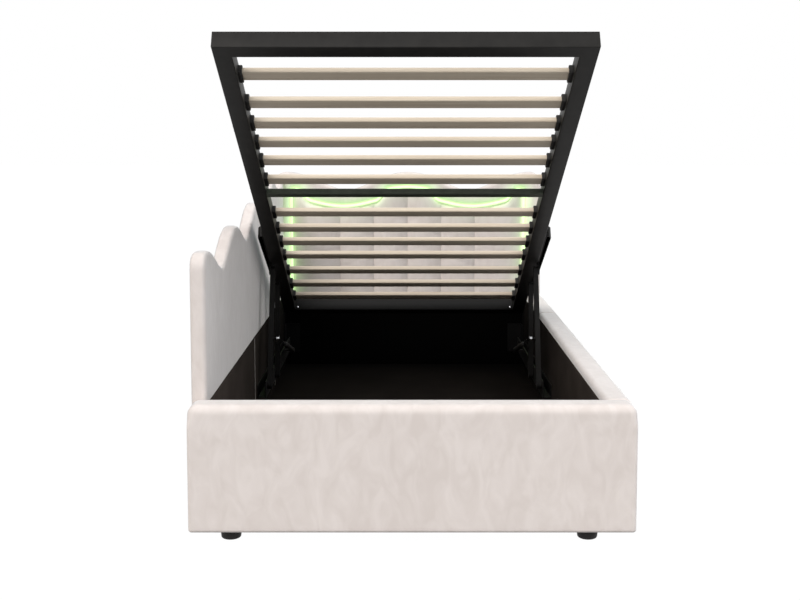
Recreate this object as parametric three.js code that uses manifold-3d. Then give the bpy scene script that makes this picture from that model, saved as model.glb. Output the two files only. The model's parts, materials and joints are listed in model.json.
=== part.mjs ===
import * as THREE from 'three';
import { mergeVertices } from 'three/addons/utils/BufferGeometryUtils.js';
import Module from 'manifold-3d';

// A twin storage daybed: padded footboard, low side rail, scalloped side board and headboard
// round a lined storage box, and a slatted mattress platform that lifts on two gas-strut linkages.
// Millimetres. X runs left to right, Y from foot to head, Z up. It is drawn with the platform lifted.

// Overall sizes of the upholstered body
const BED_WIDTH = 1123;
const LEG_HEIGHT = 36;
const RAIL_TOP = 356;
const BOX_LENGTH = 1954;
const FOOTBOARD_DEPTH = 72;
const HEADBOARD_DEPTH = 72;
const RAIL_DEPTH = 73;
const SIDE_BOARD_DEPTH = 40;
const LINING_DEPTH = 3.7;
const HEAD_CHANNEL_PROUD = 4;

// Clearances
const SEAM_GAP = 0.3;
const RUNNING_GAP = 0.5;
const OVERRUN = 5;
const MERGE_DISTANCE = 1e-3;

// Upholstery: soft edge radii, the boards inside and where the lining stops
const SOFT_EDGE = 16;
const FOOTBOARD_EDGE = 22;
const FOOTBOARD_CORNER = 26;
const LOWER_CORNER = 8;
const TIGHT_EDGE = 6;
const PANEL_DEPTH = 18;
const PANEL_MARGIN = 14;
const LINING_DROP = 12;
const RAIL_SEAM_SETBACK = 558;
const LINING_SEAM_SHARE = 0.475;
const EDGE_STEPS = 4;

// Scalloped headboard
const HEAD_CREST = 861;
const HEAD_LOBE_HEIGHT = 79;
const HEAD_LOBE_PITCH_SHARE = 0.4595;
const GLOW_LOBE_PITCH_SHARE = 0.4844;
const HEAD_CORNER = 46;
const LOBE_FULLNESS_SHARE = 0.75;
const LOBE_STEPS = 12;
const BORDER_WIDTH = 72;
const BORDER_TOP_WIDTH = 63;
const GLOW_LOBE_EXTRA = 5;
const RECESS_DEPTH = 20;
const RECESS_BOTTOM = 330;
const STRIP_WIDTH = 9;
const STRIP_DEPTH = 14;
const GLOW_GROOVE = 15;
const GLOW_CORNER = 24;

// Channelled pad inside the headboard border
const CHANNEL_WIDTH = 142;
const INNER_CHANNELS = 4;
const CHANNEL_CROWN = 13;
const CHANNEL_STEPS = 8;
const CHANNEL_ROWS = 12;
const PAD_DEPTH = 12;
const PAD_EDGE_ROUND = 26;
const CHANNEL_ROUND_SHARE = 0.55;

// Scalloped side board: the lobes climb toward the head
const SIDE_LOBE_HEIGHT = 78;
const SIDE_LOBE_PITCH = 506;
const SIDE_FIRST_CREST_Y = 128;
const SIDE_FRONT_TROUGH = 648;
const SIDE_RISE = 137;
const SIDE_RISE_LENGTH = 1899;
const SIDE_RISE_POWER_SHARE = 1.6;
const SIDE_CORNER = 40;
const SIDE_STEPS = 64;
const SIDE_EDGE = 12;

// Storage floor and what carries it
const FLOOR_TOP = 46;
const FLOOR_DEPTH = 5;
const FLOOR_SEAM_SHARE = 0.5;
const BEARER_WIDTH = 40;
const BEARER_DEPTH = 20;
const BEARER_WALL = 1.5;
const BEARER_PLACE_SHARES = [0.25, 0.75];

// Feet
const LEG_DIAMETER = 52;
const LEG_FRONT_Y = 65;
const LEG_INSET_LEFT = 99.5;
const LEG_INSET_RIGHT = 113.5;
const LEG_CHAMFER = 2;
const ROUND_STEPS = 24;

// Corner brackets that hold the boards together
const BRACKET_LEG = 60;
const BRACKET_WALL = 3;
const BRACKET_HEIGHT = 120;
const BRACKET_BOTTOM = 100;

// Lifting platform: a welded tube frame with slats in plastic clips
const PLATFORM_SIDE_GAP = 31;
const PLATFORM_HEAD_GAP = 20;
const PLATFORM_FOOT_GAP = 14;
const TUBE = 46;
const TUBE_WALL = 1.5;
const TUBE_CHAMFER = 2;
const MIDDLE_BAR_WIDTH = 25;
const MIDDLE_BAR_HEIGHT = 19.7;
const SLAT_WIDTH = 41;
const SLAT_DEPTH = 15;
const SLAT_BOTTOM = 20;
const SLAT_CHAMFER = 2.5;
const CLIP_DEPTH = 10;
const CLIP_WALL = 5;
const SLAT_END_GAP = 2;
const BOLT_RADIUS = 5;
const BOLT_HEAD = 3;
const BOLT_SPACING = 24;
// Centres of the slats and of the middle bar, as shares of the platform's length from the head end
const SLAT_PLACE_SHARES = [0.07, 0.138, 0.208, 0.283, 0.346, 0.406, 0.471,
  0.596, 0.662, 0.721, 0.779, 0.838, 0.913];
const MIDDLE_BAR_SHARE = 0.5655;
const UPPER_BOLT_SHARE = 0.77;

// The platform's travel: its height when shut, how far its head end moves out and up, and its slope
const CLOSED_BOTTOM = 256;
const LIFT_TRAVEL = 320;
const LIFT_RISE = 60;
const RAISED_SLOPE = THREE.MathUtils.degToRad(28.6);

// Lift linkage, in a plane beside each platform rail
const FRONT_PIVOT_U = 520;
const PIVOT_SPACING = 160;
const PIVOT_DROP = 22;
const FRONT_BASE_Z = 165;
const REAR_BASE_Z = 150;
const ARM_DEPTH = 16;
const ARM_WALL = 2.5;
const ARM_WIDTH = 28;
const PLATE_DEPTH = 4;
const PIN_RADIUS = 5;
const PIN_GAP = 0.4;
const RIVET_RADIUS = 9;
const RIVET_HEAD = 2.4;
const EAR_RADIUS = 16;
const BRACKET_HEAD_U = 300;
const BRACKET_FOOT_U = 790;
const BRACKET_SETBACK = 4;
const COVER_HEAD_U = 400;
const COVER_FOOT_U = 760;
const COVER_HEAD_REACH = 10;
const COVER_FOOT_REACH = 16;
const COVER_SLOPE = 12;
const COVER_WALL = 2;
const CHANNEL_LENGTH = 850;
const CHANNEL_SETBACK = 126;
const CHANNEL_BOTTOM = 128;
const CHANNEL_WALL = 3;
const CHANNEL_OUTER_HEIGHT = 44;
const CHANNEL_INNER_HEIGHT = 56;

// Gas struts
const STRUT_PIN_REACH = 160;
const STRUT_BASE_SETBACK = 326;
const STRUT_BASE_Z = 168;
const STRUT_TUBE_RADIUS = 9;
const STRUT_BORE_RADIUS = 7;
const STRUT_ROD_RADIUS = 4;
const STRUT_PISTON_RADIUS = 6.5;
const STRUT_PISTON_LENGTH = 14;
const STRUT_TUBE_LENGTH = 330;
const STRUT_NECK_LENGTH = 28;
const STRUT_EYE_RADIUS = 9;
const STRUT_EYE_DEPTH = 10;
const STRUT_STUD_RADIUS = 4;
const STRUT_OFFSET = 15;
const STRUT_OVERLAP = 40;
const STRUT_MOUTH_WALL = 10;
const PIN_STEPS = 16;

// Places worked out from the sizes above
const HALF_WIDTH = BED_WIDTH / 2;
const BOX_FRONT = FOOTBOARD_DEPTH;
const BOX_REAR = FOOTBOARD_DEPTH + BOX_LENGTH;
const HEAD_FACE = BOX_REAR + LINING_DEPTH + SEAM_GAP;
const BED_REAR = HEAD_FACE + HEADBOARD_DEPTH;
const BOX_LEFT = -HALF_WIDTH + SIDE_BOARD_DEPTH + SEAM_GAP + LINING_DEPTH;
const BOX_RIGHT = HALF_WIDTH - RAIL_DEPTH - SEAM_GAP - LINING_DEPTH;
const BOX_CENTRE = (BOX_LEFT + BOX_RIGHT) / 2;
const BOX_HALF = (BOX_RIGHT - BOX_LEFT) / 2;
const LINING_TOP = RAIL_TOP - LINING_DROP;
const LINING_SEAM_Y = BOX_FRONT + BOX_LENGTH * LINING_SEAM_SHARE;
const RAIL_SEAM_Y = BOX_REAR - RAIL_SEAM_SETBACK;
const PLATFORM_HALF = BOX_HALF - PLATFORM_SIDE_GAP;
const PLATFORM_LENGTH = BOX_LENGTH - PLATFORM_HEAD_GAP - PLATFORM_FOOT_GAP;
const CLOSED_HEAD_Y = BOX_REAR - PLATFORM_HEAD_GAP;
const RAISED_HEAD_Y = CLOSED_HEAD_Y - LIFT_TRAVEL;
const RAISED_HEAD_Z = CLOSED_BOTTOM + LIFT_RISE;
const REAR_PIVOT_U = FRONT_PIVOT_U - PIVOT_SPACING;
const HEAD_LOBE_PITCH = BED_WIDTH * HEAD_LOBE_PITCH_SHARE;
const GLOW_LOBE_PITCH = BED_WIDTH * GLOW_LOBE_PITCH_SHARE;
const HEAD_TROUGH = HEAD_CREST - HEAD_LOBE_HEIGHT;
const GLOW_HALF = HALF_WIDTH - BORDER_WIDTH;
const GLOW_CREST = HEAD_CREST - BORDER_TOP_WIDTH;
const GLOW_TROUGH = GLOW_CREST - HEAD_LOBE_HEIGHT - GLOW_LOBE_EXTRA;

const wasm = await Module();
wasm.setup();

const COLOURS = {
  velvet: 0xddd4cd, board: 0xb89c78, lining: 0x1c1a19, steel: 0x1d1d1f, slat: 0xded2c4,
  chrome: 0xb9bcc0, glow: 0xd2ffbe, leg: 0x32302f,
};
const FINISHES = {
  velvet: [0.9, 0], board: [0.8, 0], lining: [0.95, 0], steel: [0.45, 0.6], slat: [0.55, 0],
  chrome: [0.2, 1], glow: [0.4, 0], leg: [0.6, 0],
};

const bed = new THREE.Group();

function addPiece(parent, name, geometry, finish) {
  const [roughness, metalness] = FINISHES[finish];
  const material = new THREE.MeshStandardMaterial({ color: COLOURS[finish], roughness, metalness });
  const piece = new THREE.Mesh(geometry, material);
  piece.name = name;
  parent.add(piece);
  return piece;
}

// Solids to cut and join, and back to geometry again
function toSolid(geometry) {
  const bare = geometry.index ? geometry.toNonIndexed() : geometry.clone();
  bare.deleteAttribute('normal');
  bare.deleteAttribute('uv');
  const merged = mergeVertices(bare, MERGE_DISTANCE);
  const corners = merged.index.array;
  const triVerts = [];
  for (let i = 0; i < corners.length; i += 3) {
    const [a, b, c] = corners.slice(i, i + 3);
    if (a !== b && b !== c && c !== a) triVerts.push(a, b, c);
  }
  return new wasm.Manifold(new wasm.Mesh({
    numProp: 3,
    vertProperties: new Float32Array(merged.attributes.position.array),
    triVerts: new Uint32Array(triVerts),
  }));
}

function toGeometry(solid) {
  const mesh = solid.getMesh();
  const geometry = new THREE.BufferGeometry();
  geometry.setAttribute('position', new THREE.BufferAttribute(mesh.vertProperties, 3));
  geometry.setIndex(new THREE.BufferAttribute(mesh.triVerts, 1));
  geometry.computeVertexNormals();
  return geometry;
}

function joinAndCut(added, removed = []) {
  let solid = toSolid(added[0]);
  for (const geometry of added.slice(1)) solid = solid.add(toSolid(geometry));
  for (const geometry of removed) solid = solid.subtract(toSolid(geometry));
  return toGeometry(solid);
}

function block(x0, x1, y0, y1, z0, z1) {
  const geometry = new THREE.BoxGeometry(Math.abs(x1 - x0), y1 - y0, z1 - z0);
  geometry.translate((x0 + x1) / 2, (y0 + y1) / 2, (z0 + z1) / 2);
  return geometry;
}

// An outline is a list of Vector2, anticlockwise
function extruded(outline, holes, depth) {
  const shape = new THREE.Shape(outline);
  shape.holes = holes.map((hole) => new THREE.Path(hole));
  return new THREE.ExtrudeGeometry(shape, { depth, bevelEnabled: false });
}

// An outline of (y, z) points, drawn out along X
function prismX(outline, xa, xb, holes = []) {
  const low = Math.min(xa, xb);
  const geometry = extruded(outline, holes, Math.abs(xb - xa));
  const turn = new THREE.Matrix4().makeBasis(
    new THREE.Vector3(0, 1, 0), new THREE.Vector3(0, 0, 1), new THREE.Vector3(1, 0, 0));
  return geometry.applyMatrix4(turn).translate(low, 0, 0);
}

// An outline of (x, z) points, drawn out along Y
function prismY(outline, y0, y1, holes = []) {
  const geometry = extruded(outline, holes, y1 - y0);
  const turn = new THREE.Matrix4().makeBasis(
    new THREE.Vector3(1, 0, 0), new THREE.Vector3(0, 0, 1), new THREE.Vector3(0, -1, 0));
  return geometry.applyMatrix4(turn).translate(0, y1, 0);
}

function circle(centreY, centreZ, radius, steps = PIN_STEPS) {
  return Array.from({ length: steps }, (_, i) => {
    const angle = (i / steps) * 2 * Math.PI;
    return new THREE.Vector2(centreY + radius * Math.cos(angle), centreZ + radius * Math.sin(angle));
  });
}

function rectangle(x0, x1, z0, z1) {
  return [[x0, z0], [x1, z0], [x1, z1], [x0, z1]].map(([x, z]) => new THREE.Vector2(x, z));
}

// A rectangle with its own radius at each corner: lower left, lower right, upper right, upper left
function softRectangle(x0, x1, z0, z1, radii, steps = EDGE_STEPS) {
  const centres = [[x0, z0, 1, 1], [x1, z0, -1, 1], [x1, z1, -1, -1], [x0, z1, 1, -1]];
  return centres.flatMap(([x, z, sx, sz], corner) => {
    const radius = radii[corner];
    if (radius === 0) return [new THREE.Vector2(x, z)];
    return Array.from({ length: steps + 1 }, (_, i) => {
      const angle = Math.PI + (corner + i / steps) * Math.PI / 2;
      return new THREE.Vector2(
        x + sx * radius + radius * Math.cos(angle), z + sz * radius + radius * Math.sin(angle));
    });
  });
}

function chamferedRectangle(x0, x1, z0, z1, cut) {
  return softRectangle(x0, x1, z0, z1, [cut, cut, cut, cut], 1);
}

// The same outline drawn in by a distance, corner by corner
function inset(outline, distance) {
  const count = outline.length;
  return outline.map((point, i) => {
    const before = point.clone().sub(outline[(i + count - 1) % count]).normalize();
    const after = outline[(i + 1) % count].clone().sub(point).normalize();
    const inward = new THREE.Vector2(-before.y - after.y, before.x + after.x).normalize();
    const stretch = 1 / Math.max(inward.dot(new THREE.Vector2(-before.y, before.x)), 1 / 2);
    return point.clone().addScaledVector(inward, distance * stretch);
  });
}

// A padded board: an outline drawn out to a depth, with both faces rounded off at their edges.
// place(a, b, depth) says where a point of the outline at a depth lies.
function padded(outline, depth, nearEdge, farEdge, place) {
  const rings = [];
  for (let i = 0; i <= EDGE_STEPS; i += 1) {
    const angle = (i / EDGE_STEPS) * Math.PI / 2;
    rings.push([nearEdge * (1 - Math.sin(angle)), nearEdge * (1 - Math.cos(angle))]);
  }
  for (let i = 0; i <= EDGE_STEPS; i += 1) {
    const angle = (i / EDGE_STEPS) * Math.PI / 2;
    rings.push([farEdge * (1 - Math.cos(angle)), depth - farEdge * (1 - Math.sin(angle))]);
  }
  const loops = rings.map(([drawnIn, along]) => inset(outline, drawnIn).map((p) => place(p.x, p.y, along)));
  const count = outline.length;
  const positions = loops.flat().flatMap((p) => [p.x, p.y, p.z]);
  const faces = [];
  for (let r = 0; r < loops.length - 1; r += 1) {
    for (let i = 0; i < count; i += 1) {
      const j = (i + 1) % count;
      const [a, b, c, d] = [r * count + i, r * count + j, (r + 1) * count + j, (r + 1) * count + i];
      faces.push(a, b, c, a, c, d);
    }
  }
  const nearCap = THREE.ShapeUtils.triangulateShape(inset(outline, nearEdge), []);
  const farCap = THREE.ShapeUtils.triangulateShape(inset(outline, farEdge), []);
  const last = (loops.length - 1) * count;
  for (const [a, b, c] of nearCap) faces.push(a, c, b);
  for (const [a, b, c] of farCap) faces.push(last + a, last + b, last + c);
  const geometry = new THREE.BufferGeometry();
  geometry.setAttribute('position', new THREE.Float32BufferAttribute(positions, 3));
  geometry.setIndex(faces);
  return geometry;
}

// Outline in (y, z), depth toward +X; and outline in (x, z), depth toward -Y
const paddedAlongX = (outline, x0, x1, nearEdge, farEdge) => padded(
  outline, x1 - x0, nearEdge, farEdge, (y, z, along) => new THREE.Vector3(x0 + along, y, z));
const paddedAlongY = (outline, y0, y1, rearEdge, frontEdge) => padded(
  outline, y1 - y0, rearEdge, frontEdge, (x, z, along) => new THREE.Vector3(x, y1 - along, z));

// The scalloped top line: broad crests and narrow troughs
const wave = (place, pitch) => (1 + Math.cos((2 * Math.PI * place) / pitch)) / 2;
const lobe = (place, pitch) => wave(place, pitch) ** LOBE_FULLNESS_SHARE;
const headTop = (x, crest, trough) => trough + (crest - trough) * lobe(x, HEAD_LOBE_PITCH);

// Drawn in from the edge, the same line gets rounder troughs and steeper flanks
function glowTop(x, crest, trough) {
  const share = wave(x, GLOW_LOBE_PITCH);
  return trough + (crest - trough) * share * share * (3 - 2 * share);
}

const sideTop = (y) => SIDE_FRONT_TROUGH
  + SIDE_RISE * (Math.max(y, 0) / SIDE_RISE_LENGTH) ** SIDE_RISE_POWER_SHARE
  + SIDE_LOBE_HEIGHT * lobe(y - SIDE_FIRST_CREST_Y, SIDE_LOBE_PITCH);

// The headboard's open outline, from its right foot up, along the lobes and down to its left foot
function scallopLine(half, crest, trough, corner, bottom, topLine = headTop) {
  const shoulder = half - corner;
  const shoulderTop = topLine(shoulder, crest, trough);
  const right = [new THREE.Vector2(half, bottom)];
  for (let i = 0; i <= EDGE_STEPS; i += 1) {
    const angle = (i / EDGE_STEPS) * Math.PI / 2;
    right.push(new THREE.Vector2(
      shoulder + corner * Math.cos(angle), shoulderTop - corner + corner * Math.sin(angle)));
  }
  const steps = Math.round((2 * LOBE_STEPS * shoulder) / HEAD_LOBE_PITCH);
  for (let i = 1; i < steps; i += 1) {
    const x = shoulder * (1 - i / steps);
    right.push(new THREE.Vector2(x, topLine(x, crest, trough)));
  }
  const left = right.map((p) => new THREE.Vector2(-p.x, p.y)).reverse();
  return [...right, new THREE.Vector2(0, topLine(0, crest, trough)), ...left];
}

const headOutline = scallopLine(HALF_WIDTH, HEAD_CREST, HEAD_TROUGH, HEAD_CORNER, LEG_HEIGHT);

function sideOutline(front, rear, bottom) {
  const outline = [new THREE.Vector2(front, bottom), new THREE.Vector2(rear, bottom)];
  const shoulder = front + SIDE_CORNER;
  for (let i = 0; i <= SIDE_STEPS; i += 1) {
    const y = rear + (shoulder - rear) * (i / SIDE_STEPS);
    outline.push(new THREE.Vector2(y, sideTop(y)));
  }
  for (let i = 1; i <= EDGE_STEPS; i += 1) {
    const angle = (i / EDGE_STEPS) * Math.PI / 2;
    outline.push(new THREE.Vector2(shoulder - SIDE_CORNER * Math.sin(angle),
      sideTop(shoulder) - SIDE_CORNER * (1 - Math.cos(angle))));
  }
  return outline;
}

// Footboard: a board that shows on the inside, with a padded cover over its front, top and ends
function buildFootboard() {
  const panelHalf = HALF_WIDTH - SOFT_EDGE - PANEL_MARGIN;
  const panelFront = FOOTBOARD_DEPTH - PANEL_DEPTH;
  const outline = softRectangle(-HALF_WIDTH, HALF_WIDTH, LEG_HEIGHT, RAIL_TOP,
    [FOOTBOARD_CORNER, FOOTBOARD_CORNER, FOOTBOARD_CORNER, FOOTBOARD_CORNER]);
  const cover = paddedAlongY(outline, 0, FOOTBOARD_DEPTH, TIGHT_EDGE, FOOTBOARD_EDGE);
  const pocket = block(-panelHalf - SEAM_GAP, panelHalf + SEAM_GAP, panelFront - SEAM_GAP,
    FOOTBOARD_DEPTH + OVERRUN, LEG_HEIGHT - OVERRUN, LINING_TOP + SEAM_GAP);
  addPiece(bed, 'footboard_cover', joinAndCut([cover], [pocket]), 'velvet');
  addPiece(bed, 'footboard_panel', block(-panelHalf, panelHalf, panelFront, FOOTBOARD_DEPTH,
    LEG_HEIGHT, LINING_TOP), 'lining');
}

// Right rail: one board with two padded covers that meet at a seam
function buildRail() {
  const inner = HALF_WIDTH - RAIL_DEPTH;
  const panelOuter = inner + PANEL_DEPTH;
  const outline = softRectangle(inner, HALF_WIDTH, LEG_HEIGHT, RAIL_TOP,
    [0, LOWER_CORNER, FOOTBOARD_EDGE, SOFT_EDGE]);
  const pocket = block(inner - OVERRUN, panelOuter + SEAM_GAP, -OVERRUN,
    BED_REAR, LEG_HEIGHT - OVERRUN, LINING_TOP - PANEL_MARGIN + SEAM_GAP);
  const stretches = {
    rail_cover_front: [BOX_FRONT + SEAM_GAP, RAIL_SEAM_Y - SEAM_GAP],
    rail_cover_rear: [RAIL_SEAM_Y + SEAM_GAP, HEAD_FACE - SEAM_GAP],
  };
  for (const [name, [start, end]] of Object.entries(stretches)) {
    const cover = paddedAlongY(outline, start, end, TIGHT_EDGE, TIGHT_EDGE);
    addPiece(bed, name, joinAndCut([cover], [pocket]), 'velvet');
  }
  addPiece(bed, 'rail_panel', block(inner, panelOuter, BOX_FRONT + SEAM_GAP, HEAD_FACE - SEAM_GAP,
    LEG_HEIGHT, LINING_TOP - PANEL_MARGIN), 'board');
}

// Side board: a scalloped board in a padded sleeve that is open below
function buildSideBoard() {
  const front = BOX_FRONT + SEAM_GAP;
  const rear = HEAD_FACE - SEAM_GAP;
  const outer = -HALF_WIDTH;
  const inner = outer + SIDE_BOARD_DEPTH;
  const panelOuter = (outer + inner - PANEL_DEPTH) / 2;
  const outline = sideOutline(front, rear, LEG_HEIGHT);
  const sleeve = paddedAlongX(outline, outer, inner, SIDE_EDGE, SIDE_EDGE);
  const pocket = sideOutline(front, rear, LEG_HEIGHT - PANEL_MARGIN - OVERRUN);
  const panel = sideOutline(front, rear, LEG_HEIGHT - PANEL_MARGIN);
  addPiece(bed, 'side_board_cover', joinAndCut([sleeve], [
    prismX(inset(pocket, PANEL_MARGIN - SEAM_GAP), panelOuter - SEAM_GAP,
      panelOuter + PANEL_DEPTH + SEAM_GAP),
  ]), 'velvet');
  addPiece(bed, 'side_board_panel', prismX(inset(panel, PANEL_MARGIN),
    panelOuter, panelOuter + PANEL_DEPTH), 'board');
}

// Headboard: scalloped board in a padded sleeve, with a recess that holds a light strip and a pad
function buildHeadboard() {
  const recessFloor = HEAD_FACE + RECESS_DEPTH;
  const panelRear = BED_REAR - PANEL_MARGIN;
  const recess = scallopLine(GLOW_HALF + STRIP_WIDTH, GLOW_CREST + STRIP_WIDTH,
    GLOW_TROUGH + STRIP_WIDTH, GLOW_CORNER, RECESS_BOTTOM, glowTop);
  const sleeve = paddedAlongY(headOutline, HEAD_FACE, BED_REAR, SOFT_EDGE, SOFT_EDGE);
  const openBelow = scallopLine(HALF_WIDTH, HEAD_CREST, HEAD_TROUGH, HEAD_CORNER,
    LEG_HEIGHT - PANEL_MARGIN - OVERRUN);
  const panel = scallopLine(HALF_WIDTH, HEAD_CREST, HEAD_TROUGH, HEAD_CORNER, LEG_HEIGHT - PANEL_MARGIN);
  addPiece(bed, 'headboard_cover', joinAndCut([sleeve], [
    prismY(recess, HEAD_FACE - OVERRUN, recessFloor),
    prismY(inset(openBelow, PANEL_MARGIN - SEAM_GAP), panelRear - PANEL_DEPTH - SEAM_GAP,
      panelRear + SEAM_GAP),
  ]), 'velvet');
  addPiece(bed, 'headboard_panel', prismY(inset(panel, PANEL_MARGIN),
    panelRear - PANEL_DEPTH, panelRear), 'board');
  const outerEdge = scallopLine(GLOW_HALF + STRIP_WIDTH / 2, GLOW_CREST + STRIP_WIDTH / 2,
    GLOW_TROUGH + STRIP_WIDTH / 2, GLOW_CORNER, RECESS_BOTTOM + SEAM_GAP, glowTop);
  const innerEdge = scallopLine(GLOW_HALF - STRIP_WIDTH / 2, GLOW_CREST - STRIP_WIDTH / 2,
    GLOW_TROUGH - STRIP_WIDTH / 2, GLOW_CORNER, RECESS_BOTTOM + SEAM_GAP, glowTop);
  addPiece(bed, 'light_strip', prismY([...outerEdge, ...innerEdge.reverse()],
    recessFloor - SEAM_GAP - STRIP_DEPTH, recessFloor - SEAM_GAP), 'glow');
  addPiece(bed, 'headboard_pad', channelPad(recessFloor - SEAM_GAP), 'velvet');
}

// The pad: upright sewn channels, each crowned, falling off round at the pad's own edge
function channelPad(rear) {
  const half = GLOW_HALF - GLOW_GROOVE;
  const bottom = RECESS_BOTTOM + SEAM_GAP;
  const front = HEAD_FACE - HEAD_CHANNEL_PROUD + CHANNEL_CROWN;
  const innerHalf = (CHANNEL_WIDTH * INNER_CHANNELS) / 2;
  const seams = [-half];
  for (let i = 0; i <= INNER_CHANNELS; i += 1) seams.push(i * CHANNEL_WIDTH - innerHalf);
  seams.push(half);
  const columns = [];
  for (let s = 0; s < seams.length - 1; s += 1) {
    for (let i = 0; i < CHANNEL_STEPS; i += 1) {
      const share = i / CHANNEL_STEPS;
      const x = seams[s] + (seams[s + 1] - seams[s]) * share;
      columns.push([x, Math.sin(Math.PI * share) ** CHANNEL_ROUND_SHARE]);
    }
  }
  columns.push([half, 0]);
  const crest = GLOW_CREST - GLOW_GROOVE;
  const trough = GLOW_TROUGH - GLOW_GROOVE;
  const edgeFall = (distance) => {
    const share = Math.min(distance / PAD_EDGE_ROUND, 1);
    return Math.sqrt(1 - (1 - share) ** 2);
  };
  const grid = (surface) => columns.map(([x, crown]) => Array.from({ length: CHANNEL_ROWS + 1 }, (_, r) => {
    const top = glowTop(x, crest, trough);
    const eased = (1 - Math.cos((Math.PI * r) / CHANNEL_ROWS)) / 2;
    const z = bottom + (top - bottom) * eased;
    const fall = edgeFall(Math.min(half - Math.abs(x), z - bottom, top - z));
    return surface(x, z, crown, fall);
  }));
  const faceY = (crown, fall) => rear - PAD_DEPTH - fall * (rear - PAD_DEPTH - front + CHANNEL_CROWN * crown);
  const faces = grid((x, z, crown, fall) => new THREE.Vector3(x, faceY(crown, fall), z));
  const backs = grid((x, z) => new THREE.Vector3(x, rear, z));
  return gridSolid(faces, backs);
}

// A closed body between two grids of points of the same size, the first facing -Y
function gridSolid(front, back) {
  const across = front.length;
  const up = front[0].length;
  const positions = [...front.flat(), ...back.flat()].flatMap((p) => [p.x, p.y, p.z]);
  const at = (side, i, j) => side * across * up + i * up + j;
  const faces = [];
  const quad = (a, b, c, d) => faces.push(a, b, c, a, c, d);
  for (let i = 0; i < across - 1; i += 1) {
    for (let j = 0; j < up - 1; j += 1) {
      quad(at(0, i, j), at(0, i + 1, j), at(0, i + 1, j + 1), at(0, i, j + 1));
      quad(at(1, i, j), at(1, i, j + 1), at(1, i + 1, j + 1), at(1, i + 1, j));
    }
    quad(at(0, i + 1, 0), at(0, i, 0), at(1, i, 0), at(1, i + 1, 0));
    quad(at(0, i, up - 1), at(0, i + 1, up - 1), at(1, i + 1, up - 1), at(1, i, up - 1));
  }
  for (let j = 0; j < up - 1; j += 1) {
    quad(at(0, 0, j), at(0, 0, j + 1), at(1, 0, j + 1), at(1, 0, j));
    quad(at(0, across - 1, j + 1), at(0, across - 1, j), at(1, across - 1, j), at(1, across - 1, j + 1));
  }
  const geometry = new THREE.BufferGeometry();
  geometry.setAttribute('position', new THREE.Float32BufferAttribute(positions, 3));
  geometry.setIndex(faces);
  return geometry;
}

// Dark lining boards round the storage box, its floor and the bars under the floor
function buildStorageBox() {
  const floorBottom = FLOOR_TOP - FLOOR_DEPTH;
  const stretches = {
    front: [BOX_FRONT + SEAM_GAP, LINING_SEAM_Y - SEAM_GAP],
    rear: [LINING_SEAM_Y + SEAM_GAP, BOX_REAR - SEAM_GAP],
  };
  for (const [place, [start, end]] of Object.entries(stretches)) {
    addPiece(bed, `lining_left_${place}`,
      block(BOX_LEFT - LINING_DEPTH, BOX_LEFT, start, end, floorBottom, LINING_TOP), 'lining');
    addPiece(bed, `lining_right_${place}`, block(BOX_RIGHT, BOX_RIGHT + LINING_DEPTH, start, end,
      floorBottom, LINING_TOP - TIGHT_EDGE), 'lining');
  }
  addPiece(bed, 'lining_head', block(BOX_LEFT - LINING_DEPTH, BOX_RIGHT + LINING_DEPTH,
    BOX_REAR, BOX_REAR + LINING_DEPTH, floorBottom, LINING_TOP - PANEL_MARGIN - SEAM_GAP), 'lining');
  const floorSeam = BOX_FRONT + BOX_LENGTH * FLOOR_SEAM_SHARE;
  const floorLeft = BOX_LEFT + SEAM_GAP;
  const floorRight = BOX_RIGHT - SEAM_GAP;
  addPiece(bed, 'floor_front', block(floorLeft, floorRight, BOX_FRONT + SEAM_GAP, floorSeam - SEAM_GAP,
    floorBottom, FLOOR_TOP), 'lining');
  addPiece(bed, 'floor_rear', block(floorLeft, floorRight, floorSeam + SEAM_GAP, BOX_REAR - SEAM_GAP,
    floorBottom, FLOOR_TOP), 'lining');
  const barTop = floorBottom - SEAM_GAP;
  BEARER_PLACE_SHARES.forEach((share, i) => {
    const y = BOX_FRONT + BOX_LENGTH * share;
    const half = BEARER_WIDTH / 2;
    const section = rectangle(y - half, y + half, barTop - BEARER_DEPTH, barTop);
    const bar = prismX(section, BOX_LEFT - LINING_DEPTH, BOX_RIGHT + LINING_DEPTH, [
      rectangle(y - half + BEARER_WALL, y + half - BEARER_WALL,
        barTop - BEARER_DEPTH + BEARER_WALL, barTop - BEARER_WALL),
    ]);
    addPiece(bed, ['floor_bar_front', 'floor_bar_rear'][i], bar, 'steel');
  });
}

// Round feet: under the footboard and the headboard, and taller ones under the middle of the floor
function buildLegs() {
  const radius = LEG_DIAMETER / 2;
  const rows = {
    front: [LEG_FRONT_Y, LEG_HEIGHT - SEAM_GAP],
    middle: [BOX_FRONT + BOX_LENGTH / 2, FLOOR_TOP - FLOOR_DEPTH - SEAM_GAP],
    rear: [HEAD_FACE + LEG_FRONT_Y - FOOTBOARD_DEPTH / 2, LEG_HEIGHT - SEAM_GAP],
  };
  const columns = { left: -HALF_WIDTH + LEG_INSET_LEFT, right: HALF_WIDTH - LEG_INSET_RIGHT };
  for (const [row, [y, top]] of Object.entries(rows)) {
    const profile = [[0, 0], [radius - LEG_CHAMFER, 0], [radius, LEG_CHAMFER], [radius, top], [0, top]];
    for (const [column, x] of Object.entries(columns)) {
      const leg = new THREE.LatheGeometry(profile.map(([r, z]) => new THREE.Vector2(r, z)), ROUND_STEPS);
      leg.rotateX(Math.PI / 2);
      leg.translate(x, y, 0);
      addPiece(bed, `leg_${row}_${column}`, toGeometry(toSolid(leg)), 'leg');
    }
  }
}

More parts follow.
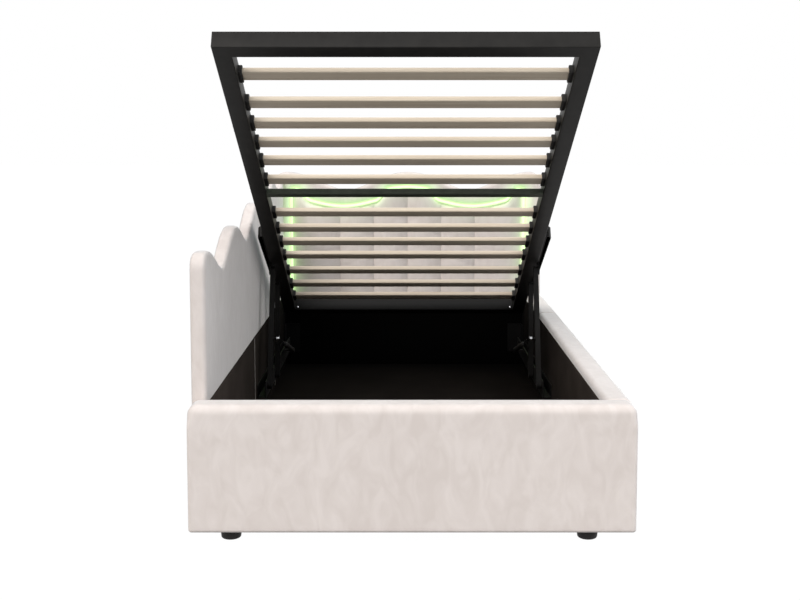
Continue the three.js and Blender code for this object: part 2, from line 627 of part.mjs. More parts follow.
// Angle brackets in the four corners of the box
function buildCornerBrackets() {
  const ends = { foot: [BOX_FRONT + SEAM_GAP, 1], head: [BOX_REAR - SEAM_GAP, -1] };
  const sides = { left: [BOX_LEFT + SEAM_GAP, 1], right: [BOX_RIGHT - SEAM_GAP, -1] };
  for (const [end, [y, inY]] of Object.entries(ends)) {
    for (const [side, [x, inX]] of Object.entries(sides)) {
      const span = (start, direction, length) => [start, start + direction * length].sort((a, b) => a - b);
      const [ax, bx] = span(x, inX, BRACKET_LEG);
      const [ay, by] = span(y, inY, BRACKET_WALL);
      const [cx, dx] = span(x, inX, BRACKET_WALL);
      const [cy, dy] = span(y, inY, BRACKET_LEG);
      const angle = joinAndCut([
        block(ax, bx, ay, by, BRACKET_BOTTOM, BRACKET_BOTTOM + BRACKET_HEIGHT),
        block(cx, dx, cy, dy, BRACKET_BOTTOM, BRACKET_BOTTOM + BRACKET_HEIGHT),
      ]);
      addPiece(bed, `corner_bracket_${end}_${side}`, angle, 'steel');
    }
  }
}

// The platform has a frame of its own: x across, y toward the head from its head end, z up from
// its underside. A place u along it is counted from the head end toward the foot.
const platform = new THREE.Group();
platform.position.set(BOX_CENTRE, RAISED_HEAD_Y, RAISED_HEAD_Z);
platform.rotation.x = -RAISED_SLOPE;
bed.add(platform);

const tubeSection = (a0, a1, b0, b1, wall, cut) => [
  chamferedRectangle(a0, a1, b0, b1, cut), [rectangle(a0 + wall, a1 - wall, b0 + wall, b1 - wall)],
];

function buildPlatform() {
  const sideEnds = [-PLATFORM_LENGTH + TUBE + SEAM_GAP, -TUBE - SEAM_GAP];
  const inner = PLATFORM_HALF - TUBE;
  const slatPlaces = SLAT_PLACE_SHARES.map((share) => -share * PLATFORM_LENGTH);
  const barPlace = -MIDDLE_BAR_SHARE * PLATFORM_LENGTH;
  const boltPlaces = [barPlace, -UPPER_BOLT_SHARE * PLATFORM_LENGTH].flatMap(
    (y) => [y - BOLT_SPACING / 2, y + BOLT_SPACING / 2]);

  for (const [name, y0] of [['platform_foot_rail', -PLATFORM_LENGTH], ['platform_head_rail', -TUBE]]) {
    const [outer, bore] = tubeSection(y0, y0 + TUBE, 0, TUBE, TUBE_WALL, TUBE_CHAMFER);
    addPiece(platform, name, prismX(outer, -PLATFORM_HALF, PLATFORM_HALF, bore), 'steel');
  }
  for (const [name, side] of [['left', -1], ['right', 1]]) {
    const [x0, x1] = [side * inner, side * PLATFORM_HALF].sort((a, b) => a - b);
    const [outer, bore] = tubeSection(x0, x1, 0, TUBE, TUBE_WALL, TUBE_CHAMFER);
    const tube = prismY(outer, ...sideEnds, bore);
    const clipTip = side * (inner - CLIP_DEPTH);
    const clips = slatPlaces.map((y) => prismX(
      rectangle(y - SLAT_WIDTH / 2 - CLIP_WALL, y + SLAT_WIDTH / 2 + CLIP_WALL,
        SLAT_BOTTOM - CLIP_WALL, SLAT_BOTTOM + SLAT_DEPTH + CLIP_WALL), clipTip,
      side * (inner + TUBE_WALL / 2)));
    const slots = slatPlaces.map((y) => block(side * (inner - CLIP_DEPTH - OVERRUN), side * inner,
      y - SLAT_WIDTH / 2 - SEAM_GAP, y + SLAT_WIDTH / 2 + SEAM_GAP,
      SLAT_BOTTOM - SEAM_GAP, SLAT_BOTTOM + SLAT_DEPTH + SEAM_GAP));
    const bolts = boltPlaces.map((y) => prismX(circle(y, TUBE / 2, BOLT_RADIUS),
      side * (PLATFORM_HALF - TUBE_WALL / 2), side * (PLATFORM_HALF + BOLT_HEAD)));
    addPiece(platform, `platform_${name}_rail`, joinAndCut([tube, ...clips, ...bolts], slots), 'steel');
  }
  const barHalf = MIDDLE_BAR_WIDTH / 2;
  const [barOuter, barBore] = tubeSection(barPlace - barHalf, barPlace + barHalf, 0,
    MIDDLE_BAR_HEIGHT - SEAM_GAP, TUBE_WALL, TUBE_CHAMFER);
  addPiece(platform, 'platform_middle_bar',
    prismX(barOuter, -inner + SEAM_GAP, inner - SEAM_GAP, barBore), 'steel');
  const slatHalf = inner - SLAT_END_GAP;
  slatPlaces.forEach((y, i) => {
    const section = chamferedRectangle(y - SLAT_WIDTH / 2, y + SLAT_WIDTH / 2,
      SLAT_BOTTOM, SLAT_BOTTOM + SLAT_DEPTH, SLAT_CHAMFER);
    const name = `slat_${String(i + 1).padStart(2, '0')}`;
    addPiece(platform, name, prismX(section, -slatHalf, slatHalf), 'slat');
  });
}

// Where a point of the platform lies, in (y, z), when it is shut and when it is raised
const shutPoint = (u, w) => new THREE.Vector2(CLOSED_HEAD_Y - u, CLOSED_BOTTOM + w);
const raisedPoint = (u, w) => new THREE.Vector2(
  RAISED_HEAD_Y - u * Math.cos(RAISED_SLOPE) + w * Math.sin(RAISED_SLOPE),
  RAISED_HEAD_Z + u * Math.sin(RAISED_SLOPE) + w * Math.cos(RAISED_SLOPE));

// An arm's fixed pivot is as far from its platform pivot shut as raised: it lies on the line
// halfway between the two, at the height given for it
function armPlan(u, baseHeight) {
  const shut = shutPoint(u, -PIVOT_DROP);
  const raised = raisedPoint(u, -PIVOT_DROP);
  const middle = shut.clone().add(raised).multiplyScalar(1 / 2);
  const across = raised.clone().sub(shut);
  const y = middle.x - ((baseHeight - middle.y) * across.y) / across.x;
  const base = new THREE.Vector2(y, baseHeight);
  return {
    base, raised, length: raised.distanceTo(base),
    raisedAngle: raised.clone().sub(base).angle(), shutAngle: shut.clone().sub(base).angle(),
  };
}

const frontArm = armPlan(FRONT_PIVOT_U, FRONT_BASE_Z);
const rearArm = armPlan(REAR_PIVOT_U, REAR_BASE_Z);

// Layers of the linkage, as distances from the middle of the box
const PLATE_INNER = PLATFORM_HALF + SEAM_GAP;
const PLATE_OUTER = PLATE_INNER + PLATE_DEPTH;
const ARM_OUTER = PLATE_INNER - RUNNING_GAP;
const ARM_INNER = ARM_OUTER - ARM_DEPTH;
const ARM_WEB = ARM_OUTER - ARM_WALL;
const HEAD_OUTER = ARM_WEB - SEAM_GAP;
const HEAD_INNER = HEAD_OUTER - RIVET_HEAD;
const STRUT_X = ARM_INNER - STRUT_OFFSET;
const EYE_OUTER = STRUT_X + STRUT_EYE_DEPTH / 2;
const EYE_INNER = STRUT_X - STRUT_EYE_DEPTH / 2;

// A bar with two round ends, from one point to another, in (y, z)
function roundEndedBar(from, to, radius, steps = PIN_STEPS / 2) {
  const heading = to.clone().sub(from).angle();
  const arc = (centre, start) => Array.from({ length: steps + 1 }, (_, i) => {
    const angle = start + (i / steps) * Math.PI;
    return new THREE.Vector2(centre.x + radius * Math.cos(angle), centre.y + radius * Math.sin(angle));
  });
  return [...arc(to, heading - Math.PI / 2), ...arc(from, heading + Math.PI / 2)];
}

// A rivet through an arm: its pin starts in the plate and its head, inside the arm, keeps it on
function rivet(side, y, z) {
  return [
    prismX(circle(y, z, PIN_RADIUS), side * HEAD_OUTER, side * (PLATE_OUTER - PLATE_DEPTH / 2)),
    prismX(circle(y, z, RIVET_RADIUS), side * HEAD_INNER, side * HEAD_OUTER),
  ];
}

const pinHole = (side, y, z) => prismX(circle(y, z, PIN_RADIUS + PIN_GAP),
  side * (ARM_INNER - OVERRUN), side * (ARM_OUTER + OVERRUN));

// A channel on the lining carries the two fixed pivots and the strut's lower stud
function buildBaseChannel(name, side) {
  const outerFace = BOX_HALF - SEAM_GAP;
  const section = [
    [PLATE_INNER, CHANNEL_BOTTOM], [outerFace, CHANNEL_BOTTOM],
    [outerFace, CHANNEL_BOTTOM + CHANNEL_OUTER_HEIGHT],
    [outerFace - CHANNEL_WALL, CHANNEL_BOTTOM + CHANNEL_OUTER_HEIGHT],
    [outerFace - CHANNEL_WALL, CHANNEL_BOTTOM + CHANNEL_WALL],
    [PLATE_OUTER, CHANNEL_BOTTOM + CHANNEL_WALL],
    [PLATE_OUTER, CHANNEL_BOTTOM + CHANNEL_INNER_HEIGHT],
    [PLATE_INNER, CHANNEL_BOTTOM + CHANNEL_INNER_HEIGHT],
  ].map(([x, z]) => new THREE.Vector2(side * x, z));
  const outline = side > 0 ? section : section.reverse();
  const channelEnd = BOX_REAR - CHANNEL_SETBACK;
  const stud = prismX(circle(strutBase.x, strutBase.y, STRUT_STUD_RADIUS),
    side * (EYE_OUTER + RUNNING_GAP), side * (PLATE_OUTER - PLATE_DEPTH / 2));
  const geometry = joinAndCut([
    prismY(outline, channelEnd - CHANNEL_LENGTH, channelEnd), stud,
    ...rivet(side, frontArm.base.x, frontArm.base.y), ...rivet(side, rearArm.base.x, rearArm.base.y),
  ]);
  geometry.translate(BOX_CENTRE, 0, 0);
  addPiece(bed, `base_channel_${name}`, geometry, 'steel');
}

// The cover seen from above, in (x, y): it widens toward the foot and its ends slope
function coverOutline(side, drawnIn) {
  const root = PLATE_OUTER + (drawnIn === 0 ? -PLATE_DEPTH / 2 : drawnIn / 2);
  const foot = -COVER_FOOT_U + drawnIn;
  const head = -COVER_HEAD_U - drawnIn;
  const outline = [
    [root, foot], [PLATE_OUTER + COVER_FOOT_REACH / 2 - drawnIn, foot],
    [PLATE_OUTER + COVER_FOOT_REACH - drawnIn, foot + COVER_SLOPE],
    [PLATE_OUTER + COVER_HEAD_REACH - drawnIn, head - COVER_SLOPE], [root, head],
  ].map(([x, y]) => new THREE.Vector2(side * x, y));
  return side > 0 ? outline : outline.reverse();
}

// A plate on the platform's rail, with two ears below it for the arms and a pressed cover outside
// it that is open below
function buildPlatformBracket(name, side) {
  const top = TUBE - BRACKET_SETBACK;
  const front = new THREE.Vector2(-FRONT_PIVOT_U, -PIVOT_DROP);
  const rear = new THREE.Vector2(-REAR_PIVOT_U, -PIVOT_DROP);
  const plate = prismX(chamferedRectangle(-BRACKET_FOOT_U, -BRACKET_HEAD_U, BRACKET_SETBACK, top,
    BRACKET_SETBACK), side * PLATE_INNER, side * PLATE_OUTER);
  const ears = [front, rear].map((pivot) => prismX(
    roundEndedBar(pivot, new THREE.Vector2(pivot.x, TUBE / 2), EAR_RADIUS),
    side * PLATE_INNER, side * PLATE_OUTER));
  const washer = prismX(circle(rear.x, rear.y, RIVET_RADIUS),
    side * (PLATE_OUTER - PLATE_DEPTH / 2), side * (PLATE_OUTER + RIVET_HEAD));
  const bolts = [BRACKET_HEAD_U + EAR_RADIUS, BRACKET_FOOT_U - EAR_RADIUS].map((u) => prismX(
    circle(-u, TUBE / 2, BOLT_RADIUS),
    side * (PLATE_OUTER - PLATE_DEPTH / 2), side * (PLATE_OUTER + BOLT_HEAD)));
  const cover = extruded(coverOutline(side, 0), [], top - BRACKET_SETBACK).translate(0, 0, BRACKET_SETBACK);
  const hollow = extruded(coverOutline(side, COVER_WALL), [], top - COVER_WALL);
  const parts = [plate, cover, ...ears, washer, ...bolts, ...rivet(side, front.x, front.y)];
  addPiece(platform, `platform_bracket_${name}`, joinAndCut(parts, [hollow]), 'steel');
}

function armGroup(plan) {
  const group = new THREE.Group();
  group.position.set(BOX_CENTRE, plan.base.x, plan.base.y);
  group.rotation.x = plan.raisedAngle;
  bed.add(group);
  return group;
}

// The arms are pressed from sheet: a web with a rim turned in all round
function buildArms(name, side) {
  const start = new THREE.Vector2(0, 0);
  const frontEnd = new THREE.Vector2(frontArm.length, 0);
  const rearEnd = new THREE.Vector2(rearArm.length, 0);
  const bar = (end, radius, inner, outer) => prismX(
    roundEndedBar(start, end, radius), side * inner, side * outer);
  const arm = (end) => joinAndCut([bar(end, ARM_WIDTH / 2, ARM_INNER, ARM_OUTER)],
    [bar(end, ARM_WIDTH / 2 - ARM_WALL, ARM_INNER - OVERRUN, ARM_WEB)]);
  const studEnd = EYE_INNER - RUNNING_GAP;
  const stud = [
    prismX(circle(STRUT_PIN_REACH, 0, STRUT_STUD_RADIUS), side * studEnd, side * (ARM_WEB + ARM_WALL / 2)),
    prismX(circle(STRUT_PIN_REACH, 0, STRUT_STUD_RADIUS + RIVET_HEAD), side * (studEnd - RIVET_HEAD),
      side * studEnd),
  ];
  addPiece(armGroup(frontArm), `front_arm_${name}`, joinAndCut([arm(frontEnd), ...stud],
    [pinHole(side, 0, 0), pinHole(side, frontEnd.x, 0)]), 'steel');
  const head = prismX(circle(rearEnd.x, 0, RIVET_RADIUS),
    side * HEAD_INNER, side * (ARM_WEB + ARM_WALL / 2));
  addPiece(armGroup(rearArm), `rear_arm_${name}`,
    joinAndCut([arm(rearEnd), head], [pinHole(side, 0, 0)]), 'steel');
}

// The strut, raised: from its pin on the front arm down to its stud on the base channel
const strutPin = frontArm.base.clone().add(new THREE.Vector2(
  STRUT_PIN_REACH * Math.cos(frontArm.raisedAngle), STRUT_PIN_REACH * Math.sin(frontArm.raisedAngle)));
const strutBase = new THREE.Vector2(BOX_REAR - STRUT_BASE_SETBACK, STRUT_BASE_Z);
const strutLength = strutPin.distanceTo(strutBase);
const strutHeading = strutBase.clone().sub(strutPin).angle();

function strutGroup() {
  const group = new THREE.Group();
  group.position.set(BOX_CENTRE, strutPin.x, strutPin.y);
  group.rotation.x = strutHeading;
  bed.add(group);
  return group;
}

// A turned piece along the strut, from (radius, distance from the pin) points
function turned(side, points) {
  const lathe = new THREE.LatheGeometry(points.map(([r, along]) => new THREE.Vector2(r, along)), PIN_STEPS);
  return lathe.translate(side * STRUT_X, 0, 0);
}

function buildStrut(name, side) {
  const mouth = strutLength - STRUT_TUBE_LENGTH;
  const rodEnd = mouth + STRUT_OVERLAP;
  const rodRoom = STRUT_ROD_RADIUS + PIN_GAP;
  const tubeEnd = strutLength - STRUT_NECK_LENGTH;
  const boreEnd = tubeEnd - STRUT_MOUTH_WALL;
  const throat = mouth + STRUT_MOUTH_WALL;
  const rod = turned(side, [[0, 0], [STRUT_ROD_RADIUS, 0], [STRUT_ROD_RADIUS, rodEnd],
    [STRUT_PISTON_RADIUS, rodEnd], [STRUT_PISTON_RADIUS, rodEnd + STRUT_PISTON_LENGTH],
    [0, rodEnd + STRUT_PISTON_LENGTH]]);
  const rodEye = prismX(circle(0, 0, STRUT_EYE_RADIUS), side * EYE_INNER, side * EYE_OUTER);
  const eyeHole = prismX(circle(0, 0, STRUT_STUD_RADIUS + PIN_GAP),
    side * (EYE_INNER - OVERRUN), side * (EYE_OUTER + OVERRUN));
  addPiece(strutGroup(), `strut_rod_${name}`, joinAndCut([rod, rodEye], [eyeHole]), 'chrome');
  const tube = turned(side, [[rodRoom, mouth], [STRUT_TUBE_RADIUS, mouth],
    [STRUT_TUBE_RADIUS, tubeEnd], [0, tubeEnd],
    [0, boreEnd], [STRUT_BORE_RADIUS, boreEnd], [STRUT_BORE_RADIUS, throat], [rodRoom, throat],
    [rodRoom, mouth]]);
  const neckStart = boreEnd + STRUT_MOUTH_WALL / 2;
  const neckRadius = STRUT_STUD_RADIUS + PIN_GAP;
  const neck = turned(side, [[0, neckStart], [neckRadius, neckStart],
    [neckRadius, strutLength], [0, strutLength]]);
  const tubeEye = prismX(circle(strutLength, 0, STRUT_EYE_RADIUS), side * EYE_INNER, side * EYE_OUTER);
  addPiece(strutGroup(), `strut_tube_${name}`, joinAndCut([tube, neck, tubeEye]), 'steel');
}

buildFootboard();
buildRail();
buildSideBoard();
buildHeadboard();
buildStorageBox();
buildLegs();
buildCornerBrackets();
buildPlatform();
for (const [name, side] of [['left', -1], ['right', 1]]) {
  buildBaseChannel(name, side);
  buildPlatformBracket(name, side);
  buildArms(name, side);
  buildStrut(name, side);
}

// The origin is on the floor, under the middle of the body's length and width
bed.position.y = -BED_REAR / 2;

export default bed;
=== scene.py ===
# %% [markdown]
# # A storage daybed, dressed piece by piece
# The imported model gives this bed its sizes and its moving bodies. This lesson gives it its looks:
# padded velvet covers, a sewn headboard pad with a light strip round it, slats in a steel frame, and
# a dark lined box. Everything is in metres, with the origin on the floor under the bed's middle.

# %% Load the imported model
import json
import math
import bmesh
import bpy
import numpy as np
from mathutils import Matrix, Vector, noise


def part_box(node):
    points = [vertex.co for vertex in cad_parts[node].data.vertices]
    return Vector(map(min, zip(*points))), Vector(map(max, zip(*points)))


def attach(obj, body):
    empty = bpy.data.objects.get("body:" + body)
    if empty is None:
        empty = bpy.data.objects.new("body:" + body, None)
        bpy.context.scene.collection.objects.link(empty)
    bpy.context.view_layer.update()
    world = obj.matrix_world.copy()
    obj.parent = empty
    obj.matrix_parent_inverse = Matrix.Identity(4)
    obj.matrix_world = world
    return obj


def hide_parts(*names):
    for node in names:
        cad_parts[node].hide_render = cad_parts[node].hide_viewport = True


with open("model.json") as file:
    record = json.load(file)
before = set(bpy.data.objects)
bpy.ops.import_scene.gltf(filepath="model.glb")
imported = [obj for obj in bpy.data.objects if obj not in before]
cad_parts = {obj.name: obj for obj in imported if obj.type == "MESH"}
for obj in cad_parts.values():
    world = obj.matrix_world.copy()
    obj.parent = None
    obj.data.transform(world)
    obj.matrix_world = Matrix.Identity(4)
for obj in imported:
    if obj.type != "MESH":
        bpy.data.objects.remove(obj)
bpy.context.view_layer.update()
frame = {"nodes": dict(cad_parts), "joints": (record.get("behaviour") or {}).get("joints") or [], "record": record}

MM = 0.001


def put_in_scene(name, data):
    thing = bpy.data.objects.new(name, data)
    bpy.context.scene.collection.objects.link(thing)
    return thing


# %% [markdown]
# ## The camera
# A product photographer stands at the foot of the bed, a little above it, with a lens a bit longer
# than normal. The picture is cropped low, which the lens shift repeats: the vertical lines of the
# bed stay nearly upright and the camera is tilted only a few degrees.

# %% Place the camera
LENS = 51.66
CAMERA_PLACE = (-0.0284, -3.8426, 1.0365)
CAMERA_TILT_DOWN = math.radians(5.106)
LENS_SHIFT = (-0.0011, -0.0841)


def place_camera():
    lens = bpy.data.cameras.new("camera")
    lens.lens = LENS
    lens.sensor_width = 36
    lens.shift_x, lens.shift_y = LENS_SHIFT
    camera = put_in_scene("camera", lens)
    camera.location = CAMERA_PLACE
    camera.rotation_euler = (math.pi / 2 - CAMERA_TILT_DOWN, 0, 0)
    bpy.context.scene.camera = camera


place_camera()
bpy.context.scene.view_settings.view_transform = "Standard"
print("camera at", CAMERA_PLACE)

# %% [markdown]
# ## Finishes: how a material is put together
# A material here is a Principled shader whose colour and bump come from noise on the piece's own
# coordinates, so the pattern stays with the piece when it moves. A few helpers keep that short: they
# add a node with its settings, a noise that is stretched along the axes, a ramp, a bump or some maths.

# %% Helpers for node trees
def add_node(tree, kind, inputs=None, **settings):
    node = tree.nodes.new(kind)
    for name, value in settings.items():
        setattr(node, name, value)
    for name, value in (inputs or {}).items():
        node.inputs[name].default_value = value
    return node


def new_finish(name, colour, roughness, shine=0.5, metallic=0.0):
    material = bpy.data.materials.new(name)
    material.use_nodes = True
    tree = material.node_tree
    shader = tree.nodes["Principled BSDF"]
    for socket, value in (("Base Color", (*colour, 1)), ("Roughness", roughness),
                          ("Specular IOR Level", shine), ("Metallic", metallic)):
        shader.inputs[socket].default_value = value
    return material, tree, shader


def add_noise(tree, stretch, detail=3.0, distortion=0.0, turn=(0, 0, 0)):
    place = add_node(tree, "ShaderNodeTexCoord")
    mapping = add_node(tree, "ShaderNodeMapping", {"Scale": stretch, "Rotation": turn})
    speckle = add_node(tree, "ShaderNodeTexNoise",
                       {"Scale": 1.0, "Detail": detail, "Distortion": distortion})
    tree.links.new(place.outputs["Object"], mapping.inputs["Vector"])
    tree.links.new(mapping.outputs["Vector"], speckle.inputs["Vector"])
    return speckle.outputs["Fac"]


def add_ramp(tree, factor, stops):
    ramp = add_node(tree, "ShaderNodeValToRGB")
    elements = ramp.color_ramp.elements
    elements[0].position, elements[-1].position = stops[0][0], stops[-1][0]
    for place, _ in stops[1:-1]:
        elements.new(place)
    for element, (_, colour) in zip(elements, stops):
        element.color = (*colour, 1)
    tree.links.new(factor, ramp.inputs["Fac"])
    return ramp.outputs["Color"]


def add_bump(tree, shader, height, strength, distance, under=None):
    bump = add_node(tree, "ShaderNodeBump", {"Strength": strength, "Distance": distance})
    tree.links.new(height, bump.inputs["Height"])
    if under is not None:
        tree.links.new(under, bump.inputs["Normal"])
    tree.links.new(bump.outputs["Normal"], shader.inputs["Normal"])
    return bump.outputs["Normal"]


def mixed(tree, kind, first, second, factor):
    mix = add_node(tree, "ShaderNodeMix", data_type="RGBA", blend_type=kind)
    mix.inputs["Factor"].default_value = factor
    tree.links.new(first, mix.inputs["A"])
    tree.links.new(second, mix.inputs["B"])
    return mix.outputs["Result"]


def add_math(tree, operation, *values):
    node = add_node(tree, "ShaderNodeMath", operation=operation)
    for socket, value in zip(node.inputs, values):
        if isinstance(value, bpy.types.NodeSocket):
            tree.links.new(value, socket)
        else:
            socket.default_value = value
    return node.outputs[0]


def blend_shaders(tree, share, first, second, out):
    mix = add_node(tree, "ShaderNodeMixShader")
    for socket, source in zip(mix.inputs, (share, first.outputs[0], second.outputs[0])):
        tree.links.new(source, socket)
    tree.links.new(mix.outputs[0], out.inputs["Surface"])


print("node helpers ready")

# %% [markdown]
# ## The room
# The bed stands on a plain pale floor in soft light. The world lights it from all round. A wide key
# lamp from above the foot end, a little to the left, brightens the footboard and the pad. A cooler
# fill from the right keeps the inside of the side board readable, and a soft one from above whitens
# the tops of the rails. The white ground of the picture is only what the camera and reflections
# see: the floor that lights the bed from below is a plain grey, so undersides stay dark.

# %% Floor, world and lamps
FLOOR_HALF = 30.0
SKY_LIGHT = 0.58
SKY_COLOUR = (0.94, 0.97, 1.0)
LAMPS = {
    "key": (2.50, (1.0, 0.96, 0.925), math.radians(28), (0.38, 0.65, -0.64)),
    "fill": (1.82, (0.94, 0.97, 1.0), math.radians(60), (-0.80, 0.12, -0.58)),
    "top": (0.14, (0.94, 0.98, 1.0), math.radians(90), (0.0, 0.0, -1.0)),
}
FLOOR_SHADE = 0.26
FLOOR_SHADOW_SHARE = 0.06
FLOOR_WHITE = 1.06


def seen_directly(tree):
    rays = add_node(tree, "ShaderNodeLightPath").outputs
    mirrored = add_math(tree, "MAXIMUM", rays["Is Glossy Ray"], rays["Is Transmission Ray"])
    return add_math(tree, "MAXIMUM", rays["Is Camera Ray"], mirrored)


def light_the_room():
    world = bpy.data.worlds.new("room")
    bpy.context.scene.world = world
    world.use_nodes = True
    tree = world.node_tree
    tree.nodes.clear()
    light = add_node(tree, "ShaderNodeBackground", {"Color": (*SKY_COLOUR, 1), "Strength": SKY_LIGHT})
    white = add_node(tree, "ShaderNodeBackground", {"Color": (1, 1, 1, 1), "Strength": 1.0})
    blend_shaders(tree, seen_directly(tree), light, white, add_node(tree, "ShaderNodeOutputWorld"))
    for name, (power, colour, angle, heading) in LAMPS.items():
        lamp = bpy.data.lights.new(name, "SUN")
        lamp.energy, lamp.color, lamp.angle = power, colour, angle
        sun = put_in_scene(name, lamp)
        sun.rotation_euler = Vector(heading).to_track_quat("-Z", "Y").to_euler()


def lay_floor():
    mesh = bpy.data.meshes.new("floor")
    corners = [(x * FLOOR_HALF, y * FLOOR_HALF, 0) for x, y in ((-1, -1), (1, -1), (1, 1), (-1, 1))]
    mesh.from_pydata(corners, [], [(0, 1, 2, 3)])
    material, tree, shader = new_finish("pale floor", (FLOOR_SHADE,) * 3, 0.9)
    white = add_node(tree, "ShaderNodeEmission", {"Color": (1, 1, 1, 1), "Strength": FLOOR_WHITE})
    share = add_math(tree, "MULTIPLY", seen_directly(tree), 1 - FLOOR_SHADOW_SHARE)
    blend_shaders(tree, share, shader, white, tree.nodes["Material Output"])
    mesh.materials.append(material)
    put_in_scene("floor", mesh)


light_the_room()
lay_floor()
print("sky", SKY_LIGHT, "lamps", sorted(LAMPS))

# %% [markdown]
# ## Velvet
# The covers are short-pile velvet in a warm off-white. Hands brush its pile one way and another,
# which leaves soft streaks a few centimetres wide: a stretched, bent noise moves the colour by about
# a tenth. A very fine noise is the pile itself, and a little sheen lights it at the edges. Two
# values stored on the mesh paint light on: one darkens a piece's colour as painted shade, and the
# other adds the strip's green light as a painted glow.

# %% Velvet
VELVET_LIGHT = (0.668, 0.614, 0.586)
VELVET_DARK = (0.612, 0.556, 0.526)
PILE_SCALE = 1400.0
SHEEN = 0.85
SHEEN_TINT = (0.92, 0.97, 1.0)
# Painted light: how strongly the velvet beside the strip glows green as emission.
PAINTED_GLOW = 0.6
PAINTED_GLOW_COLOUR = (0.52, 1.0, 0.34)
# Painted shade: how much each pad channel's colour darkens toward its right seam.
FLANK_SHADE_DEPTH = 0.21


def make_velvet():
    material, tree, shader = new_finish("velvet", VELVET_LIGHT, 0.95, 0.15)
    for socket, value in (("Sheen Weight", SHEEN), ("Sheen Roughness", 0.30),
                          ("Sheen Tint", (*SHEEN_TINT, 1)), ("Emission Color", (*PAINTED_GLOW_COLOUR, 1))):
        shader.inputs[socket].default_value = value
    streaks = add_noise(tree, (19, 19, 10), detail=4, distortion=1.5, turn=(0.2, 0.5, 0.1))
    brushed = add_ramp(tree, streaks, [(0.34, VELVET_DARK), (0.66, VELVET_LIGHT)])
    patches = add_noise(tree, (5, 5, 7), detail=2, distortion=0.8)
    broad = add_ramp(tree, patches, [(0.3, (0.97, 0.967, 0.964)), (0.7, (1, 1, 1))])
    cloth = mixed(tree, "MULTIPLY", brushed, broad, 1.0)
    # Painted shade and painted light: one stored value darkens the colour, the other adds the strip's green glow
    # as emission.
    flank_shade, lit = (add_node(tree, "ShaderNodeAttribute", attribute_name=name).outputs["Fac"]
                for name in ("flank_shade", "lit"))
    painted_shade = add_ramp(tree, flank_shade, [(0.0, (1.0,) * 3), (1.0, (1 - FLANK_SHADE_DEPTH,) * 3)])
    tree.links.new(mixed(tree, "MULTIPLY", cloth, painted_shade, 1.0), shader.inputs["Base Color"])
    tree.links.new(add_math(tree, "MULTIPLY", lit, PAINTED_GLOW), shader.inputs["Emission Strength"])
    fold = add_bump(tree, shader, streaks, 0.10, 2 * MM)
    pile = add_noise(tree, (PILE_SCALE,) * 3, detail=1)
    add_bump(tree, shader, pile, 0.25, 0.3 * MM, under=fold)
    return material


velvet = make_velvet()
print("velvet made")

# %% [markdown]
# ## The hard finishes
# Black powder coat has a fine orange-peel texture. The slats are laminated wood with pale grain
# along their length. The box is lined with board under a dark cloth with a visible weave. Each one
# gets its colour change and its bump from noise at its own scale. The lining, the slats and the
# platform's frame also carry painted shade: their colour darkens toward the head, where they lie
# deep in the shade of the box.

# %% Finishes with a grain
# Painted shade: each list gives places along the bed and how much of the colour is left there, less toward the
# head.
LINING_PAINTED_SHADE = ((0.0, 1.0), (0.5, 0.42), (0.7, 0.17), (0.93, 0.06), (0.985, 0.0))
SLAT_PAINTED_SHADE = ((0.5, 1.0), (0.77, 0.74))
FRAME_PAINTED_SHADE = ((0.62, 1.0), (0.80, 0.12))


def paint_shade_along(tree, colour, painted_shade):
    """Painted shade: a colour times a tone that falls along the bed: 0 is 1 m to the foot side, 1 is 1 m to the
    head.
    """
    place = add_node(tree, "ShaderNodeTexCoord")
    parts = add_node(tree, "ShaderNodeSeparateXYZ")
    tree.links.new(place.outputs["Object"], parts.inputs["Vector"])
    along = add_math(tree, "MULTIPLY_ADD", parts.outputs["Y"], 0.5, 0.5)
    tone = add_ramp(tree, along, [(stop, (share,) * 3) for stop, share in painted_shade])
    return mixed(tree, "MULTIPLY", colour, tone, 1.0)


def grained(name, colour, roughness, stretch, detail, stops, distortion=0.0, shine=0.5, metallic=0.0,
            bump=None, threads=(), painted_shade=None):
    """One noise moves the colour between the stops. It raises the bump too, or finer threads do."""
    material, tree, shader = new_finish(name, colour, roughness, shine, metallic)
    grain = add_noise(tree, stretch, detail, distortion)
    tone = add_ramp(tree, grain, stops)
    # Painted shade: the tone falls toward the head of the bed.
    if painted_shade:
        tone = paint_shade_along(tree, tone, painted_shade)
    tree.links.new(tone, shader.inputs["Base Color"])
    if bump:
        heights = [add_noise(tree, thread, detail=1) for thread in threads] or [grain]
        height = mixed(tree, "ADD", *heights, 0.5) if len(heights) == 2 else heights[0]
        add_bump(tree, shader, height, *bump)
    return material


def make_steel(name, tone, shine, painted_shade=None):
    stops = [(place, tuple(share * value for value in tone)) for place, share in ((0.3, 0.8), (0.7, 1.2))]
    return grained(name, tone, 0.48, (30,) * 3, 3, stops, shine=shine, bump=(0.2, 0.15 * MM),
                   threads=[(700,) * 3], painted_shade=painted_shade)


print("grain helpers ready")

# %% Steel, slat wood, lining, board, chrome, foot plastic and thread
POWDER_COAT = (0.0118, 0.0111, 0.0102)
GLOW_STRENGTH = 1.25


def make_glow():
    material, tree, shader = new_finish("lit silicone", (0.30, 0.36, 0.26), 0.5)
    shader.inputs["Emission Strength"].default_value = GLOW_STRENGTH
    milky = add_noise(tree, (60,) * 3, detail=2)
    tree.links.new(add_ramp(tree, milky, [(0.2, (0.60, 1.0, 0.40)), (0.8, (0.70, 1.0, 0.50))]),
                   shader.inputs["Emission Color"])
    return material


